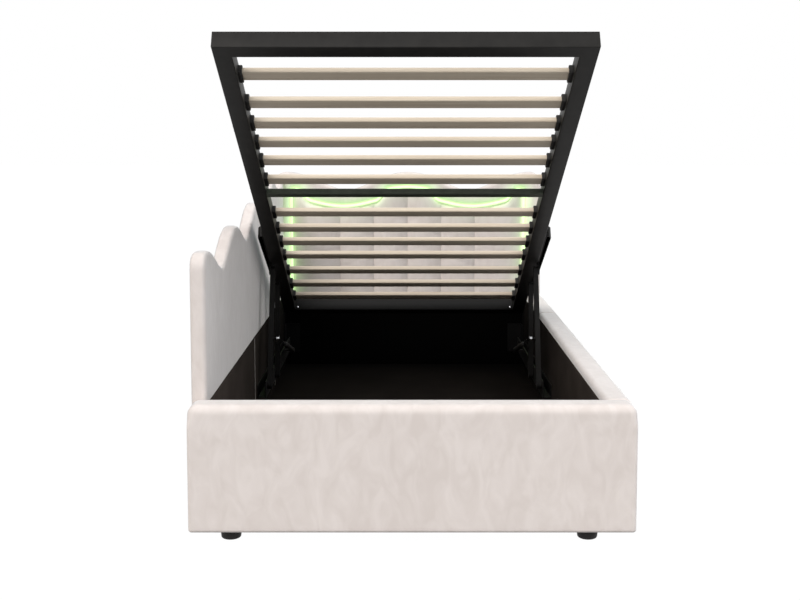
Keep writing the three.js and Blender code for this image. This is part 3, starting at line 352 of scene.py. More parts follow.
finishes = {
    "velvet": velvet,
    "steel": make_steel("black powder coat", POWDER_COAT, 0.18),
    # The slat wood and the lining cloth carry painted shade, darker toward the head.
    "slat": grained("slat wood with painted shade", (0.64, 0.56, 0.48), 0.55, (3, 160, 160), 6,
                    [(0.35, (0.536, 0.452, 0.350)), (0.62, (0.610, 0.530, 0.424))], distortion=0.3,
                    shine=0.3, bump=(0.15, 0.2 * MM), painted_shade=SLAT_PAINTED_SHADE),
    "lining": grained("dark lining cloth with painted shade", (0.012, 0.010, 0.009), 0.9, (7,) * 3, 4,
                      [(0.3, (0.0340, 0.0265, 0.0225)), (0.7, (0.0530, 0.0425, 0.0365))], shine=0.03,
                      bump=(0.3, 0.3 * MM), threads=[(40, 1400, 1400), (1400, 40, 40)],
                      painted_shade=LINING_PAINTED_SHADE),
    "board": grained("raw board", (0.48, 0.34, 0.19), 0.75, (180,) * 3, 4,
                     [(0.3, (0.36, 0.25, 0.14)), (0.7, (0.55, 0.41, 0.25))], bump=(0.2, 0.3 * MM)),
    "chrome": grained("polished rod", (0.62, 0.63, 0.65), 0.16, (900, 40, 40), 2,
                      [(0.3, (0.55, 0.56, 0.58)), (0.7, (0.68, 0.69, 0.71))], metallic=1.0),
    "leg": grained("moulded foot", (0.016, 0.015, 0.014), 0.55, (500,) * 3, 2,
                   [(0.3, (0.012, 0.011, 0.010)), (0.7, (0.019, 0.018, 0.017))], shine=0.25,
                   bump=(0.2, 0.1 * MM)),
    "glow": make_glow(),
}
thread = grained("thread", (0.60, 0.55, 0.50), 0.8, (300, 300, 900), 2,
                 [(0.3, (0.52, 0.47, 0.43)), (0.7, (0.64, 0.59, 0.55))])
# The frame's coat carries painted shade, darker toward the head rail.
frame_steel_painted_shade = make_steel("frame steel with painted shade", POWDER_COAT, 0.14, FRAME_PAINTED_SHADE)
print("finishes:", sorted(finishes))

# %% Finishes for the solids that stay
# Painted shade: the corner brackets in the head corners and the linkage get a coat darker and duller than the
# frame's, standing for the shade they sit in.
OWN_STEEL = {
    "blackened brackets": ((0.003,) * 3, 0.04, ("corner_bracket_head", "corner_bracket_foot")),
    "linkage steel": ((0.0075, 0.0072, 0.0068), 0.12,
                      ("front_arm", "rear_arm", "base_channel", "platform_bracket")),
}


def give_finish(node, finish):
    mesh = frame["nodes"][node].data
    mesh.materials.clear()
    mesh.materials.append(finish)


for entry in frame["record"]["subparts"]:
    give_finish(entry["node"], finishes[entry["material_slot"]])
for name, (tone, shine, nodes) in OWN_STEEL.items():
    steel = make_steel(name, tone, shine)
    for node in nodes:
        for side in ("left", "right"):
            give_finish(f"{node}_{side}", steel)
# Painted light: the middle bar's steel is paler and a little green, standing for the strip's glow falling on it.
give_finish("platform_middle_bar", make_steel("bar steel with painted glow", (0.044, 0.052, 0.038), 0.3))
print("finishes given to", len(frame["nodes"]), "solids")

# %% [markdown]
# ## Bodies from rings
# Every padded board on this bed is drawn the same way. Imagine sawing it across every few
# millimetres: each cut is a closed ring of points, and skinning the rings one after another gives the
# board. A ring goes up the front face, down the back face and, where a wooden panel slides in from
# below, up and down inside its pocket. Nothing here needs a sculptor, and each size is a number.

# %% Helpers for bodies
CREASE_ANGLE = math.radians(38)
CURVE_STEPS = 7


def placed(name, mesh):
    mesh.shade_smooth()
    mesh.set_sharp_from_angle(angle=CREASE_ANGLE)
    return put_in_scene(name, mesh)


def new_piece(name, points, faces, finish):
    points = np.asarray(points, float).reshape(-1, 3)
    _, first, merged = np.unique(np.round(points * 1e6), axis=0, return_index=True, return_inverse=True)
    merged = merged.reshape(-1)
    kept = []
    for face in faces:
        ring = [int(merged[i]) for i in face]
        ring = [a for a, b in zip(ring, ring[1:] + ring[:1]) if a != b]
        if len(set(ring)) == len(ring) > 2:
            kept.append(ring)
    mesh = bpy.data.meshes.new(name)
    mesh.from_pydata(points[first].tolist(), [], kept)
    body = bmesh.new()
    body.from_mesh(mesh)
    bmesh.ops.recalc_face_normals(body, faces=body.faces)
    body.to_mesh(mesh)
    body.free()
    if finish is not None:
        mesh.materials.append(finish)
    return placed(name, mesh)


def skin_rings(rings, closed=False):
    count, around = rings.shape[:2]
    number = np.arange(count * around).reshape(count, around)
    faces = []
    for i in range(count if closed else count - 1):
        a, b = number[i], number[(i + 1) % count]
        faces += zip(a, np.roll(a, -1), np.roll(b, -1), b)
    if not closed:
        faces += [tuple(number[0]), tuple(number[-1][::-1])]
    return faces


def ringed_piece(name, rings, finish, closed=False):
    return new_piece(name, rings, skin_rings(rings, closed), finish)


def spaced(low, high, low_edge, high_edge, step):
    turn = np.linspace(0, math.pi / 2, CURVE_STEPS + 1)
    near = low + low_edge * (1 - np.cos(turn))
    far = high - high_edge * (1 - np.cos(turn))[::-1]
    count = max(int(round((far[0] - near[-1]) / step)), 1)
    between = np.linspace(near[-1], far[0], count + 1)
    return np.unique(np.round(np.concatenate([near, between, far]), 6))


def distance_to(outline, across, up):
    start = np.array(outline)
    along = np.roll(start, -1, axis=0) - start
    points = np.stack([across, up], -1)[..., None, :]
    share = ((points - start) * along).sum(-1) / (along ** 2).sum(-1)
    nearest = start + np.clip(share, 0, 1)[..., None] * along
    return np.sqrt(((points - nearest) ** 2).sum(-1)).min(-1)


def rolled_edge(distance, radius):
    inward = 1 - np.clip(distance / radius, 0, 1)
    return radius * (1 - np.sqrt(1 - inward ** 2))


def smooth_step(value):
    value = np.clip(value, 0, 1)
    return value * value * (3 - 2 * value)


def unevenness(points, scale, height):
    return height * np.array([noise.noise(Vector(point) * scale) for point in points.reshape(-1, 3)]
                             ).reshape(points.shape[:-1])


def outline_of(across, low, high):
    return [*zip(across, low + 0 * across), *zip(across[::-1], high[::-1])]


def corner_fall(distance, radius):
    return radius - np.sqrt(np.maximum(radius ** 2 - np.maximum(radius - distance, 0) ** 2, 0))


def arc(centre, radius, start, stop, steps=CURVE_STEPS):
    turn = np.radians(np.linspace(start, stop, steps + 1))
    return [(centre[0] + radius * math.cos(t), centre[1] + radius * math.sin(t)) for t in turn]


def unit(lines):
    return lines / np.linalg.norm(lines, axis=1)[:, None]


def right_of(line):
    along = np.gradient(line, axis=0)
    return unit(np.stack([along[:, 1], -along[:, 0]], -1))


def middle_of(node):
    return sum(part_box(node), Vector()) / 2


def columns(places, rows):
    return np.repeat(places[:, None], rows, 1)


def rows_between(lows, highs, shares):
    return np.reshape(lows, (-1, 1)) + shares * np.reshape(highs - lows, (-1, 1))


def surface(places, depth, up, turned=False):
    return np.stack([depth, places, up] if turned else [places, depth, up], -1)


def points_of(piece):
    return np.array([vertex.co for vertex in piece.data.vertices])


def store(piece, name, values):
    piece.data.attributes.new(name, "FLOAT", "POINT").data.foreach_set("value", values)


def dress(piece, body, slot, *nodes, fill=None):
    """Each piece names the body that it rides on, its slot, the solids it stands for and its padding. The slot and
    the padding are not used.
    """
    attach(piece, body)
    if nodes:
        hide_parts(*nodes)
    print(piece.name, "rides on", body, "with", len(piece.data.polygons), "faces")


print("helpers for bodies ready")

# %% [markdown]
# ## The footboard
# The footboard is a dark board with velvet pulled over its front, top and ends. Padding makes the
# top edge a soft roll of about two centimetres, while the cloth is pulled tight round the ends and
# under the bottom, so those edges are much crisper. The board itself shows from inside the box.

# %% Footboard cover
foot_low, foot_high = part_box("footboard_cover")
foot_panel_low, foot_panel_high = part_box("footboard_panel")
TOP_ROLL = 22 * MM
TIGHT_ROLL = 9 * MM
REAR_ROLL = 6 * MM
UPPER_CORNER = 26 * MM
LOWER_CORNER = 8 * MM
SEAM_GAP = 0.3 * MM
STEP_HALF = 0.15 * MM
ROLL_BLEND = 60 * MM
PADDING_WAVE = 0.8 * MM
FOOT_WAVES, RAIL_WAVES, SIDE_WAVES = 6.5, 7.0, 5.0
CLOTH_SAG = 4 * MM
COVER_STEP = 11 * MM
BOARD_FILL = 0.6


def make_footboard():
    half = foot_high.x
    bottom, top = foot_low.z - CLOTH_SAG, foot_high.z
    pocket_half = foot_panel_high.x + SEAM_GAP
    pocket_top = foot_panel_high.z + SEAM_GAP
    pocket_front = foot_panel_low.y - SEAM_GAP
    side = spaced(pocket_half + STEP_HALF, half, 0, UPPER_CORNER, 4 * MM)
    middle = spaced(-pocket_half + STEP_HALF, pocket_half - STEP_HALF, 0, 0, COVER_STEP)
    across = np.concatenate([-side[::-1], middle, side])
    edge = half - np.abs(across)
    highs, lows = top - corner_fall(edge, UPPER_CORNER), bottom + corner_fall(edge, LOWER_CORNER)
    share = np.concatenate([
        spaced(bottom, pocket_top - STEP_HALF, TIGHT_ROLL, 40 * MM, COVER_STEP),
        spaced(pocket_top + STEP_HALF, top, 0, 8 * MM, 2 * MM)])
    share = (share - bottom) / (top - bottom)
    up = rows_between(lows, highs, share)
    wide = columns(across, len(share))
    distance = distance_to(outline_of(across, lows, highs), wide, up)
    soft = smooth_step((up - (top - ROLL_BLEND)) / (ROLL_BLEND - TOP_ROLL))
    radius = TIGHT_ROLL + (TOP_ROLL - TIGHT_ROLL) * soft
    front = surface(wide, foot_low.y + rolled_edge(distance, radius), up)
    calm = smooth_step(distance / (50 * MM))
    front[..., 1] -= calm * unevenness(front, FOOT_WAVES, PADDING_WAVE)
    back = surface(wide, foot_high.y - rolled_edge(distance, REAR_ROLL), up)
    inside = (np.abs(wide) < pocket_half) & (up < pocket_top)
    back[inside, 1] = pocket_front
    return ringed_piece("footboard_velvet", np.concatenate([front, back[:, ::-1]], 1), velvet)


dress(make_footboard(), "base", "velvet", "footboard_cover", fill=BOARD_FILL)

# %% [markdown]
# ## The right rail
# The low rail is one long board. Its velvet comes in two lengths that meet at a seam two thirds of
# the way back: each length is turned in at its end, and the two turned ends make a small groove.
# A cut across the rail is a hook that wraps the board's outside and top, so it is swept along.
# A thin dark strip laid in the groove is painted shade that deepens it.

# %% Rail covers
rail_panel_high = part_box("rail_panel")[1]
RAIL_INNER_ROLL = 16 * MM
RAIL_OUTER_ROLL = 22 * MM
END_ROLL = 9 * MM
SEAM_SUNK = 2.2 * MM
SEAM_SHADE_THICK = 1.6 * MM
LOWER_START = 6
POCKET_TAIL = 24


def rail_section(low, high):
    inner, outer, bottom, top = low.x, high.x, low.z, high.z
    pocket_side, pocket_top = rail_panel_high.x + SEAM_GAP, rail_panel_high.z + SEAM_GAP
    lower, outside, inside = outer - LOWER_CORNER, outer - RAIL_OUTER_ROLL, inner + RAIL_INNER_ROLL
    return np.array([
        *np.linspace((pocket_side, bottom), (lower, bottom), 6)[:-1],
        *arc((lower, bottom + LOWER_CORNER), LOWER_CORNER, -90, 0),
        *np.linspace((outer, bottom + LOWER_CORNER), (outer, top - RAIL_OUTER_ROLL), 22)[1:-1],
        *arc((outside, top - RAIL_OUTER_ROLL), RAIL_OUTER_ROLL, 0, 90),
        *np.linspace((outside, top), (inside, top), 5)[1:-1],
        *arc((inside, top - RAIL_INNER_ROLL), RAIL_INNER_ROLL, 90, 180),
        *np.linspace((inner, top - RAIL_INNER_ROLL), (inner, pocket_top), 3)[1:],
        *np.linspace((pocket_side, pocket_top), (pocket_side, bottom), 22)[:-1],
    ])


def drawn_in(section, amount, kept):
    along = unit(section - np.roll(section, 1, axis=0)) + unit(np.roll(section, -1, axis=0) - section)
    inward = unit(np.stack([-along[:, 1], along[:, 0]], -1))
    return section + np.where(kept, 0, amount)[:, None] * inward


def make_rail_cover(node):
    low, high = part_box(node)
    section = rail_section(low, high)
    pocket = (rail_panel_high.x + 2 * SEAM_GAP, rail_panel_high.z + 2 * SEAM_GAP)
    inside = (section[:, 0] < pocket[0]) & (section[:, 1] < pocket[1])
    along = spaced(low.y, high.y, END_ROLL, END_ROLL, 16 * MM)
    rings = []
    for y in along:
        roll = float(rolled_edge(np.array(min(y - low.y, high.y - y)), END_ROLL))
        ring = drawn_in(section, roll, inside)
        rings.append([(x, y, z) for x, z in ring])
    rings = np.array(rings)
    wave = unevenness(rings, RAIL_WAVES, PADDING_WAVE)
    wave[:, inside] = 0
    centre = (low.x + high.x) / 2
    rings[..., 0] += wave * np.sign(rings[..., 0] - centre) * (rings[..., 2] < high.z - RAIL_OUTER_ROLL)
    rings[..., 2] += 0.6 * wave * (rings[..., 2] > high.z - RAIL_OUTER_ROLL)
    return ringed_piece(node.replace("_cover", "_velvet"), rings, velvet)


def make_seam_shade_strip():
    # Painted shade: a thin strip of the dark lining cloth lies in the groove where the two lengths meet.
    low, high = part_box("rail_cover_front")
    section = rail_section(low, high)
    pocket = rail_panel_high.x + 2 * SEAM_GAP
    kept = section[:, 0] < pocket
    first, last = LOWER_START, len(section) - POCKET_TAIL
    upper = drawn_in(section, SEAM_SUNK, kept)[first:last]
    under = drawn_in(section, SEAM_SUNK + SEAM_SHADE_THICK, kept)[first:last]
    rings = [[(*a, -1), (*a, 1), (*b, 1), (*b, -1)] for a, b in zip(upper, under)]
    rings = [[(x, high.y + side * SEAM_SHADE_THICK / 2, z) for x, z, side in ring] for ring in rings]
    return ringed_piece("rail_seam", np.array(rings), finishes["lining"])


dress(make_seam_shade_strip(), "base", "lining")
for node in ("rail_cover_front", "rail_cover_rear"):
    dress(make_rail_cover(node), "base", "velvet", node, fill=BOARD_FILL)

# %% [markdown]
# ## The scalloped side board
# The left side is a tall board whose top runs in waves that climb toward the head. Its velvet
# sleeve has a four-centimetre edge band: two seams, one on each face, run along just inside the
# edge, and each pulls the padding into a fine crease. The board slides into the sleeve from below.

# %% Side board sleeve
side_low, side_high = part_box("side_board_cover")
side_panel_low, side_panel_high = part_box("side_board_panel")
SIDE_ROLL = 12 * MM
SIDE_CORNER = 40 * MM
SIDE_LOBE = 78 * MM
SIDE_PITCH = 506 * MM
SIDE_FIRST_CREST = 128 * MM
SIDE_TROUGH = 648 * MM
SIDE_RISE = 137 * MM
SIDE_RISE_LENGTH = 1899 * MM
SIDE_RISE_POWER = 1.6
SIDE_MEAN_TOP = 720 * MM
BED_FOOT = 1051 * MM
LOBE_FULLNESS = 0.75
PANEL_MARGIN = 14 * MM
PANEL_ROOM = 1.0 * MM
CREASE_PLACE = 7 * MM
CREASE_WIDTH = 1.6 * MM
CREASE_DEPTH = 1.1 * MM


def lobe(place, pitch):
    return ((1 + np.cos(2 * np.pi * place / pitch)) / 2) ** LOBE_FULLNESS


def side_top(along):
    back = along + BED_FOOT
    climb = SIDE_RISE * (np.maximum(back, 0) / SIDE_RISE_LENGTH) ** SIDE_RISE_POWER
    return SIDE_TROUGH + climb + SIDE_LOBE * lobe(back - SIDE_FIRST_CREST, SIDE_PITCH)


def pocket_height(across, highs, lowest, highest, bottom):
    outline = np.stack([across, highs], -1)
    moved = outline + right_of(outline) * (PANEL_MARGIN - PANEL_ROOM)
    order = np.argsort(moved[:, 0])
    height = np.interp(across, moved[order, 0], moved[order, 1])
    return np.where((across > lowest - PANEL_ROOM) & (across < highest + PANEL_ROOM), height, bottom)


def crease(distance):
    return CREASE_DEPTH * np.exp(-((distance - CREASE_PLACE) / CREASE_WIDTH) ** 2)


def pocket_face(places, heights, bottom, near, far, turned=False):
    up = rows_between(bottom, heights, np.array([0, 0.5, 1]))
    depth = columns(0 * places, 6) + np.repeat([near, far], 3)
    return surface(columns(places, 6), depth, np.concatenate([up, up[:, ::-1]], 1), turned)


def make_side_board():
    bottom = side_low.z
    front, rear = side_low.y, side_high.y
    panel_front, panel_rear = side_panel_low.y, side_panel_high.y
    along = np.concatenate([
        spaced(front, panel_front - PANEL_ROOM - STEP_HALF, SIDE_CORNER / 3, 0, 3 * MM),
        spaced(panel_front - PANEL_ROOM + STEP_HALF, panel_rear + PANEL_ROOM - STEP_HALF, 30 * MM, 0,
               9 * MM),
        spaced(panel_rear + PANEL_ROOM + STEP_HALF, rear, 0, SIDE_ROLL, 3 * MM)])
    highs = side_top(np.maximum(along, front + SIDE_CORNER)) - corner_fall(along - front, SIDE_CORNER)
    share = spaced(bottom, SIDE_MEAN_TOP, SIDE_ROLL, SIDE_ROLL * 1.5, 14 * MM) - bottom
    share /= SIDE_MEAN_TOP - bottom
    up = rows_between(bottom, highs, share)
    deep = columns(along, len(share))
    distance = distance_to(outline_of(along, bottom, highs), deep, up)
    sunk = rolled_edge(distance, SIDE_ROLL) + crease(distance)
    inner = surface(deep, side_high.x - sunk, up, turned=True)
    outer = surface(deep, side_low.x + sunk, up, turned=True)
    calm = smooth_step((distance - 20 * MM) / (60 * MM))
    wave = calm * unevenness(inner, SIDE_WAVES, PADDING_WAVE)
    inner[..., 0] += wave
    outer[..., 0] -= wave
    heights = pocket_height(along, highs, panel_front, panel_rear, bottom)
    pocket = pocket_face(along, heights, bottom, side_panel_low.x - SEAM_GAP, side_panel_high.x + SEAM_GAP,
                         turned=True)
    return ringed_piece("side_board_velvet", np.concatenate([inner, outer[:, ::-1], pocket], 1), velvet)


dress(make_side_board(), "base", "velvet", "side_board_cover", fill=BOARD_FILL)

# %% [markdown]
# ## The headboard's border
# The headboard is built like the side board, with a recess in its front: a deep step whose outline
# repeats the wavy top. The padding rolls softly down into the recess, and that roll catches the
# light of the strip, so the inner edge gets its own radius.

# %% Headboard sleeve
head_low, head_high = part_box("headboard_cover")
head_panel_low, head_panel_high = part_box("headboard_panel")
strip_low, strip_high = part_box("light_strip")
HEAD_PITCH = 516.02 * MM
HEAD_CREST = 861 * MM
HEAD_LOBE = 79 * MM
HEAD_CORNER = 46 * MM
HEAD_ROLL = 16 * MM
RECESS_ROLL = 26 * MM
RECESS_ROLL_DEPTH = 15 * MM
RECESS_DEPTH = 20 * MM
RECESS_HALF = 498.5 * MM
RECESS_CREST = 807 * MM
RECESS_LOBE = 81 * MM
RECESS_CORNER = 24 * MM
RECESS_PITCH = 544 * MM
RECESS_STEP_SHARE = 0.44
RECESS_STEP_END = 132 * MM
RECESS_STEP_WIDTH = 48 * MM
RECESS_BOTTOM = 330 * MM


def border_lobe(across):
    return lobe(across, HEAD_PITCH)


def recess_lobe(across):
    from_crest = np.abs((across / RECESS_PITCH + 0.5) % 1 - 0.5) * RECESS_PITCH
    drop = smooth_step((RECESS_STEP_END - from_crest) / RECESS_STEP_WIDTH)
    wave = (1 + np.cos(2 * np.pi * across / RECESS_PITCH)) / 2
    return RECESS_STEP_SHARE * drop + (1 - RECESS_STEP_SHARE) * wave


def scalloped(across, half, crest, depth, corner, wave):
    level = crest - depth * (1 - wave(np.minimum(np.abs(across), half - corner)))
    return level - corner_fall(np.maximum(half - np.abs(across), 0), corner)


def make_headboard():
    half, bottom = head_high.x, head_low.z
    inner_edge = RECESS_HALF + STEP_HALF
    panel_edge = head_panel_high.x + PANEL_ROOM
    border = np.concatenate([
        spaced(inner_edge, panel_edge - STEP_HALF, RECESS_ROLL, 10 * MM, 4 * MM),
        spaced(panel_edge + STEP_HALF, half, 0, HEAD_ROLL * 0.75, 2.5 * MM)])
    middle = spaced(-RECESS_HALF + STEP_HALF, RECESS_HALF - STEP_HALF, RECESS_CORNER, RECESS_CORNER, 9 * MM)
    across = np.concatenate([-border[::-1], middle, border])
    highs = scalloped(across, half, HEAD_CREST, HEAD_LOBE, HEAD_CORNER, border_lobe)
    recess = scalloped(np.clip(across, -RECESS_HALF, RECESS_HALF), RECESS_HALF, RECESS_CREST,
                       RECESS_LOBE, RECESS_CORNER, recess_lobe)
    below = spaced(bottom, RECESS_BOTTOM - STEP_HALF, HEAD_ROLL, RECESS_ROLL, 18 * MM)
    shares = spaced(0, 1, 0.05, 0.05, 0.035)
    in_recess = rows_between(RECESS_BOTTOM + STEP_HALF, recess - STEP_HALF, shares)
    over = rows_between(recess + STEP_HALF, highs, spaced(0, 1, 0.45, 0.25, 0.06))
    up = np.concatenate([np.repeat(below[None, :], len(across), 0), in_recess, over], 1)
    wide = columns(across, up.shape[1])
    distance = distance_to(outline_of(across, bottom, highs), wide, up)
    hole = np.abs(across) < RECESS_HALF
    from_recess = distance_to(outline_of(across[hole], RECESS_BOTTOM, recess[hole]), wide, up)
    inside = (np.abs(wide) < RECESS_HALF) & (up > RECESS_BOTTOM) & (up < recess[:, None])
    into_recess = rolled_edge(from_recess, RECESS_ROLL) * RECESS_ROLL_DEPTH / RECESS_ROLL
    sunk = np.maximum(rolled_edge(distance, HEAD_ROLL), into_recess)
    sunk = np.where(inside, RECESS_DEPTH, sunk)
    front = surface(wide, head_low.y + sunk, up)
    back = surface(wide, head_high.y - rolled_edge(distance, HEAD_ROLL), up)
    heights = pocket_height(across, highs, -head_panel_high.x, head_panel_high.x, bottom)
    pocket = pocket_face(across, heights, bottom, head_panel_high.y + SEAM_GAP, head_panel_low.y - SEAM_GAP)
    return ringed_piece("headboard_velvet", np.concatenate([front, back[:, ::-1], pocket], 1), velvet)


headboard = make_headboard()
dress(headboard, "base", "velvet", "headboard_cover", fill=BOARD_FILL)

# %% [markdown]
# ## The channelled pad
# The pad is cloth over foam, sewn down in upright seams about fourteen centimetres apart, and wider
# at its two ends, so each channel swells between two seams. The first shape is a quilt that is
# nearly full. Its seams, its rim and its back are then held while a cloth solver blows it up. That
# moves the cloth 0.3 mm on average and 2 mm at most, so most of the fullness is the drawn one, and
# a cap would hold back a solve that went wrong. Each channel's colour also darkens a little toward
# its right seam: painted shade on the flank that turns away from the key lamp.

# %% Channelled pad
pad_low, pad_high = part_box("headboard_pad")
SEAM_PLACES = [-474.5 * MM, -284 * MM, -142 * MM, 0.0, 142 * MM, 284 * MM, 474.5 * MM]
CHANNEL_COLUMNS = 18
PAD_ROW_STEP = 8 * MM
PAD_CREST = 783 * MM
PAD_RIM_ROUND = 26 * MM
PAD_SEAM_DEPTH = 4.7 * MM
PAD_FIRST_FILL = 0.94
CROWN_FULLNESS = 0.85
CLOTH_EXTRA = -0.004
CLOTH_PRESSURE = 4.0
CLOTH_FRAMES = 20
CLOTH_REACH = 9 * MM
FLANK_SHADE_CURVE = 1.6
PAD_FILL = 0.7
CLOTH_SETTINGS = {
    "quality": 6, "mass": 0.3, "tension_stiffness": 12, "compression_stiffness": 12,
    "shear_stiffness": 4, "bending_stiffness": 0.4, "shrink_min": CLOTH_EXTRA,
    "vertex_group_mass": "held", "use_pressure": True, "uniform_pressure_force": CLOTH_PRESSURE,
}


def pad_grid():
    rear, face = pad_high.y, pad_low.y
    across, crown = [], []
    for low, high in zip(SEAM_PLACES, SEAM_PLACES[1:]):
        share = (1 - np.cos(np.linspace(0, math.pi, CHANNEL_COLUMNS + 1)[:-1])) / 2
        across += list(low + share * (high - low))
        crown += list(np.sin(math.pi * share) ** CROWN_FULLNESS)
    across = np.array([*across, SEAM_PLACES[-1]])
    crown = np.array([*crown, 0.0])
    half, bottom = SEAM_PLACES[-1], pad_low.z
    highs = scalloped(across, half, PAD_CREST, RECESS_LOBE, 0, recess_lobe)
    share = spaced(0, 1, 0.06, 0.06, PAD_ROW_STEP / (PAD_CREST - bottom))
    up = rows_between(bottom, highs, share)
    wide = columns(across, len(share))
    distance = np.minimum(np.minimum(half - np.abs(wide), up - bottom), highs[:, None] - up)
    rise = 1 - rolled_edge(distance, PAD_RIM_ROUND) / PAD_RIM_ROUND
    full = rear - face - PAD_SEAM_DEPTH
    front = surface(wide, rear - PAD_SEAM_DEPTH - PAD_FIRST_FILL * full * rise * crown[:, None], up)
    held = (crown[:, None] == 0) | (distance < 1 * MM)
    return front, surface(wide, np.full_like(up, rear), up), held


def blow_up(piece, held):
    rest = points_of(piece)
    group = piece.vertex_groups.new(name="held")
    group.add([int(i) for i in np.flatnonzero(held)], 1.0, "REPLACE")
    cloth = piece.modifiers.new("cloth", "CLOTH")
    for name, value in CLOTH_SETTINGS.items():
        setattr(cloth.settings, name, value)
    cloth.settings.effector_weights.gravity = 0
    cloth.point_cache.frame_start, cloth.point_cache.frame_end = 1, CLOTH_FRAMES
    for number in range(1, CLOTH_FRAMES + 1):
        bpy.context.scene.frame_set(number)
    points = points_of(piece.evaluated_get(bpy.context.evaluated_depsgraph_get()))
    piece.modifiers.remove(cloth)
    bpy.context.scene.frame_set(1)
    moved = points - rest
    length = np.linalg.norm(moved, axis=1)
    moved *= np.minimum(1, CLOTH_REACH / np.maximum(length, 1e-9))[:, None]
    piece.data.vertices.foreach_set("co", (rest + moved).reshape(-1))
    piece.data.update()
    print("cloth moved", round(float(length.mean()) / MM, 2), "mm on average and",
          round(float(length.max()) / MM, 2), "mm at most")


def make_pad():
    front, back, held = pad_grid()
    rings = np.concatenate([front, back[:, ::-1]], 1)
    piece = ringed_piece("headboard_channels", rings, velvet)
    fixed = {tuple(np.round(point, 5)) for point in front[held]}
    points = [tuple(point) for point in np.round(points_of(piece), 5)]
    held_points = [point in fixed or point[1] > pad_high.y - MM for point in points]
    blow_up(piece, np.array(held_points))
    return piece


def paint_channel_shade(piece):
    # Painted shade: each channel darkens from its left seam toward its right one, the flank turned from the key
    # lamp.
    across = points_of(piece)[:, 0]
    share = np.zeros_like(across)
    for low, high in zip(SEAM_PLACES, SEAM_PLACES[1:]):
        within = (across >= low - STEP_HALF) & (across < high - STEP_HALF)
        share[within] = np.clip((across[within] - low) / (high - low), 0, 1)
    store(piece, "flank_shade", share ** FLANK_SHADE_CURVE)


pad = make_pad()
paint_channel_shade(pad)
dress(pad, "base", "velvet", "headboard_pad", fill=PAD_FILL)

# %% [markdown]
# ## The light strip
# A flexible silicone strip lies on edge in the groove between the pad and the border. It is one
# milky profile that glows all over, bent along the recess, so it is a small rounded section swept
# along the wavy line. Its green light on the velvet beside it is painted light: each point of the
# border and the pad keeps how near the strip is, and the velvet there glows as emission, farther
# out than so thin a lamp would throw it.

# %% Light strip
STRIP_HALF_WIDTH = 4.5 * MM
STRIP_CORNER = 3.5 * MM
STRIP_LINE_HALF = 489.5 * MM
STRIP_LINE_CREST = 798 * MM
FAR_BELOW = 5.0
BORDER_REACH = 34 * MM
PAD_REACH = 26 * MM
PAD_LIT = 0.62


def strip_top(across):
    return scalloped(across, STRIP_LINE_HALF, STRIP_LINE_CREST, RECESS_LOBE, RECESS_CORNER, recess_lobe)


def strip_line():
    half, shoulder = STRIP_LINE_HALF, STRIP_LINE_HALF - RECESS_CORNER
    bend = strip_top(shoulder) - RECESS_CORNER
    side = [(half, z) for z in np.arange(strip_low.z, bend, 20 * MM)]
    crown = np.arange(shoulder - 8 * MM, 0, -8 * MM)
    right = [*side, *arc((shoulder, bend), RECESS_CORNER, 0, 90), *zip(crown, strip_top(crown))]
    return np.array([*right, (0.0, STRIP_LINE_CREST), *[(-x, z) for x, z in reversed(right)]])


def make_strip():
    line, half, back = strip_line(), STRIP_HALF_WIDTH, strip_high.y
    side, deep = half - STRIP_CORNER, strip_low.y + STRIP_CORNER
    section = [(half, back), *arc((side, deep), STRIP_CORNER, 0, -90, 5),
               *arc((-side, deep), STRIP_CORNER, -90, -180, 5), (-half, back)]
    rings = [[(x + out[0] * s, y, z + out[1] * s) for s, y in section]
             for (x, z), out in zip(line, right_of(line))]
    return ringed_piece("light_strip_lit", np.array(rings), finishes["glow"])


def paint_strip_glow(piece):
    across, deep, up = points_of(piece).T
    line = [*map(tuple, strip_line()), (-STRIP_LINE_HALF, -FAR_BELOW), (STRIP_LINE_HALF, -FAR_BELOW)]
    distance = distance_to(line, across, up)
    inside = (np.abs(across) < STRIP_LINE_HALF) & (up < strip_top(across))
    # Painted light: the glow is emission set by the distance to the strip, not light thrown by it.
    lit = np.where(inside, PAD_LIT * np.exp(-distance / PAD_REACH), np.exp(-(distance / BORDER_REACH) ** 2))
    lit *= (deep < strip_high.y + 2 * MM) & (up > strip_low.z - 2 * BORDER_REACH)
    store(piece, "lit", lit)
    print(piece.name, "lit", round(float(lit.mean()), 3), "most", round(float(lit.max()), 3))


for piece in (headboard, pad):
    paint_strip_glow(piece)
dress(make_strip(), "base", "glow", "light_strip")

# %% [markdown]
# ## Pieces that repeat
# The slats, their clips, the bolts, screws, feet and stitches each repeat one small shape. A node tree
# copies one shape onto a list of places: the list is a loose cloud of points, each with its own
# turn and size, so the tree has nothing to guess. Realizing the copies makes one plain mesh. A small
# round shape is made as on a lathe: its profile is spun round a line.

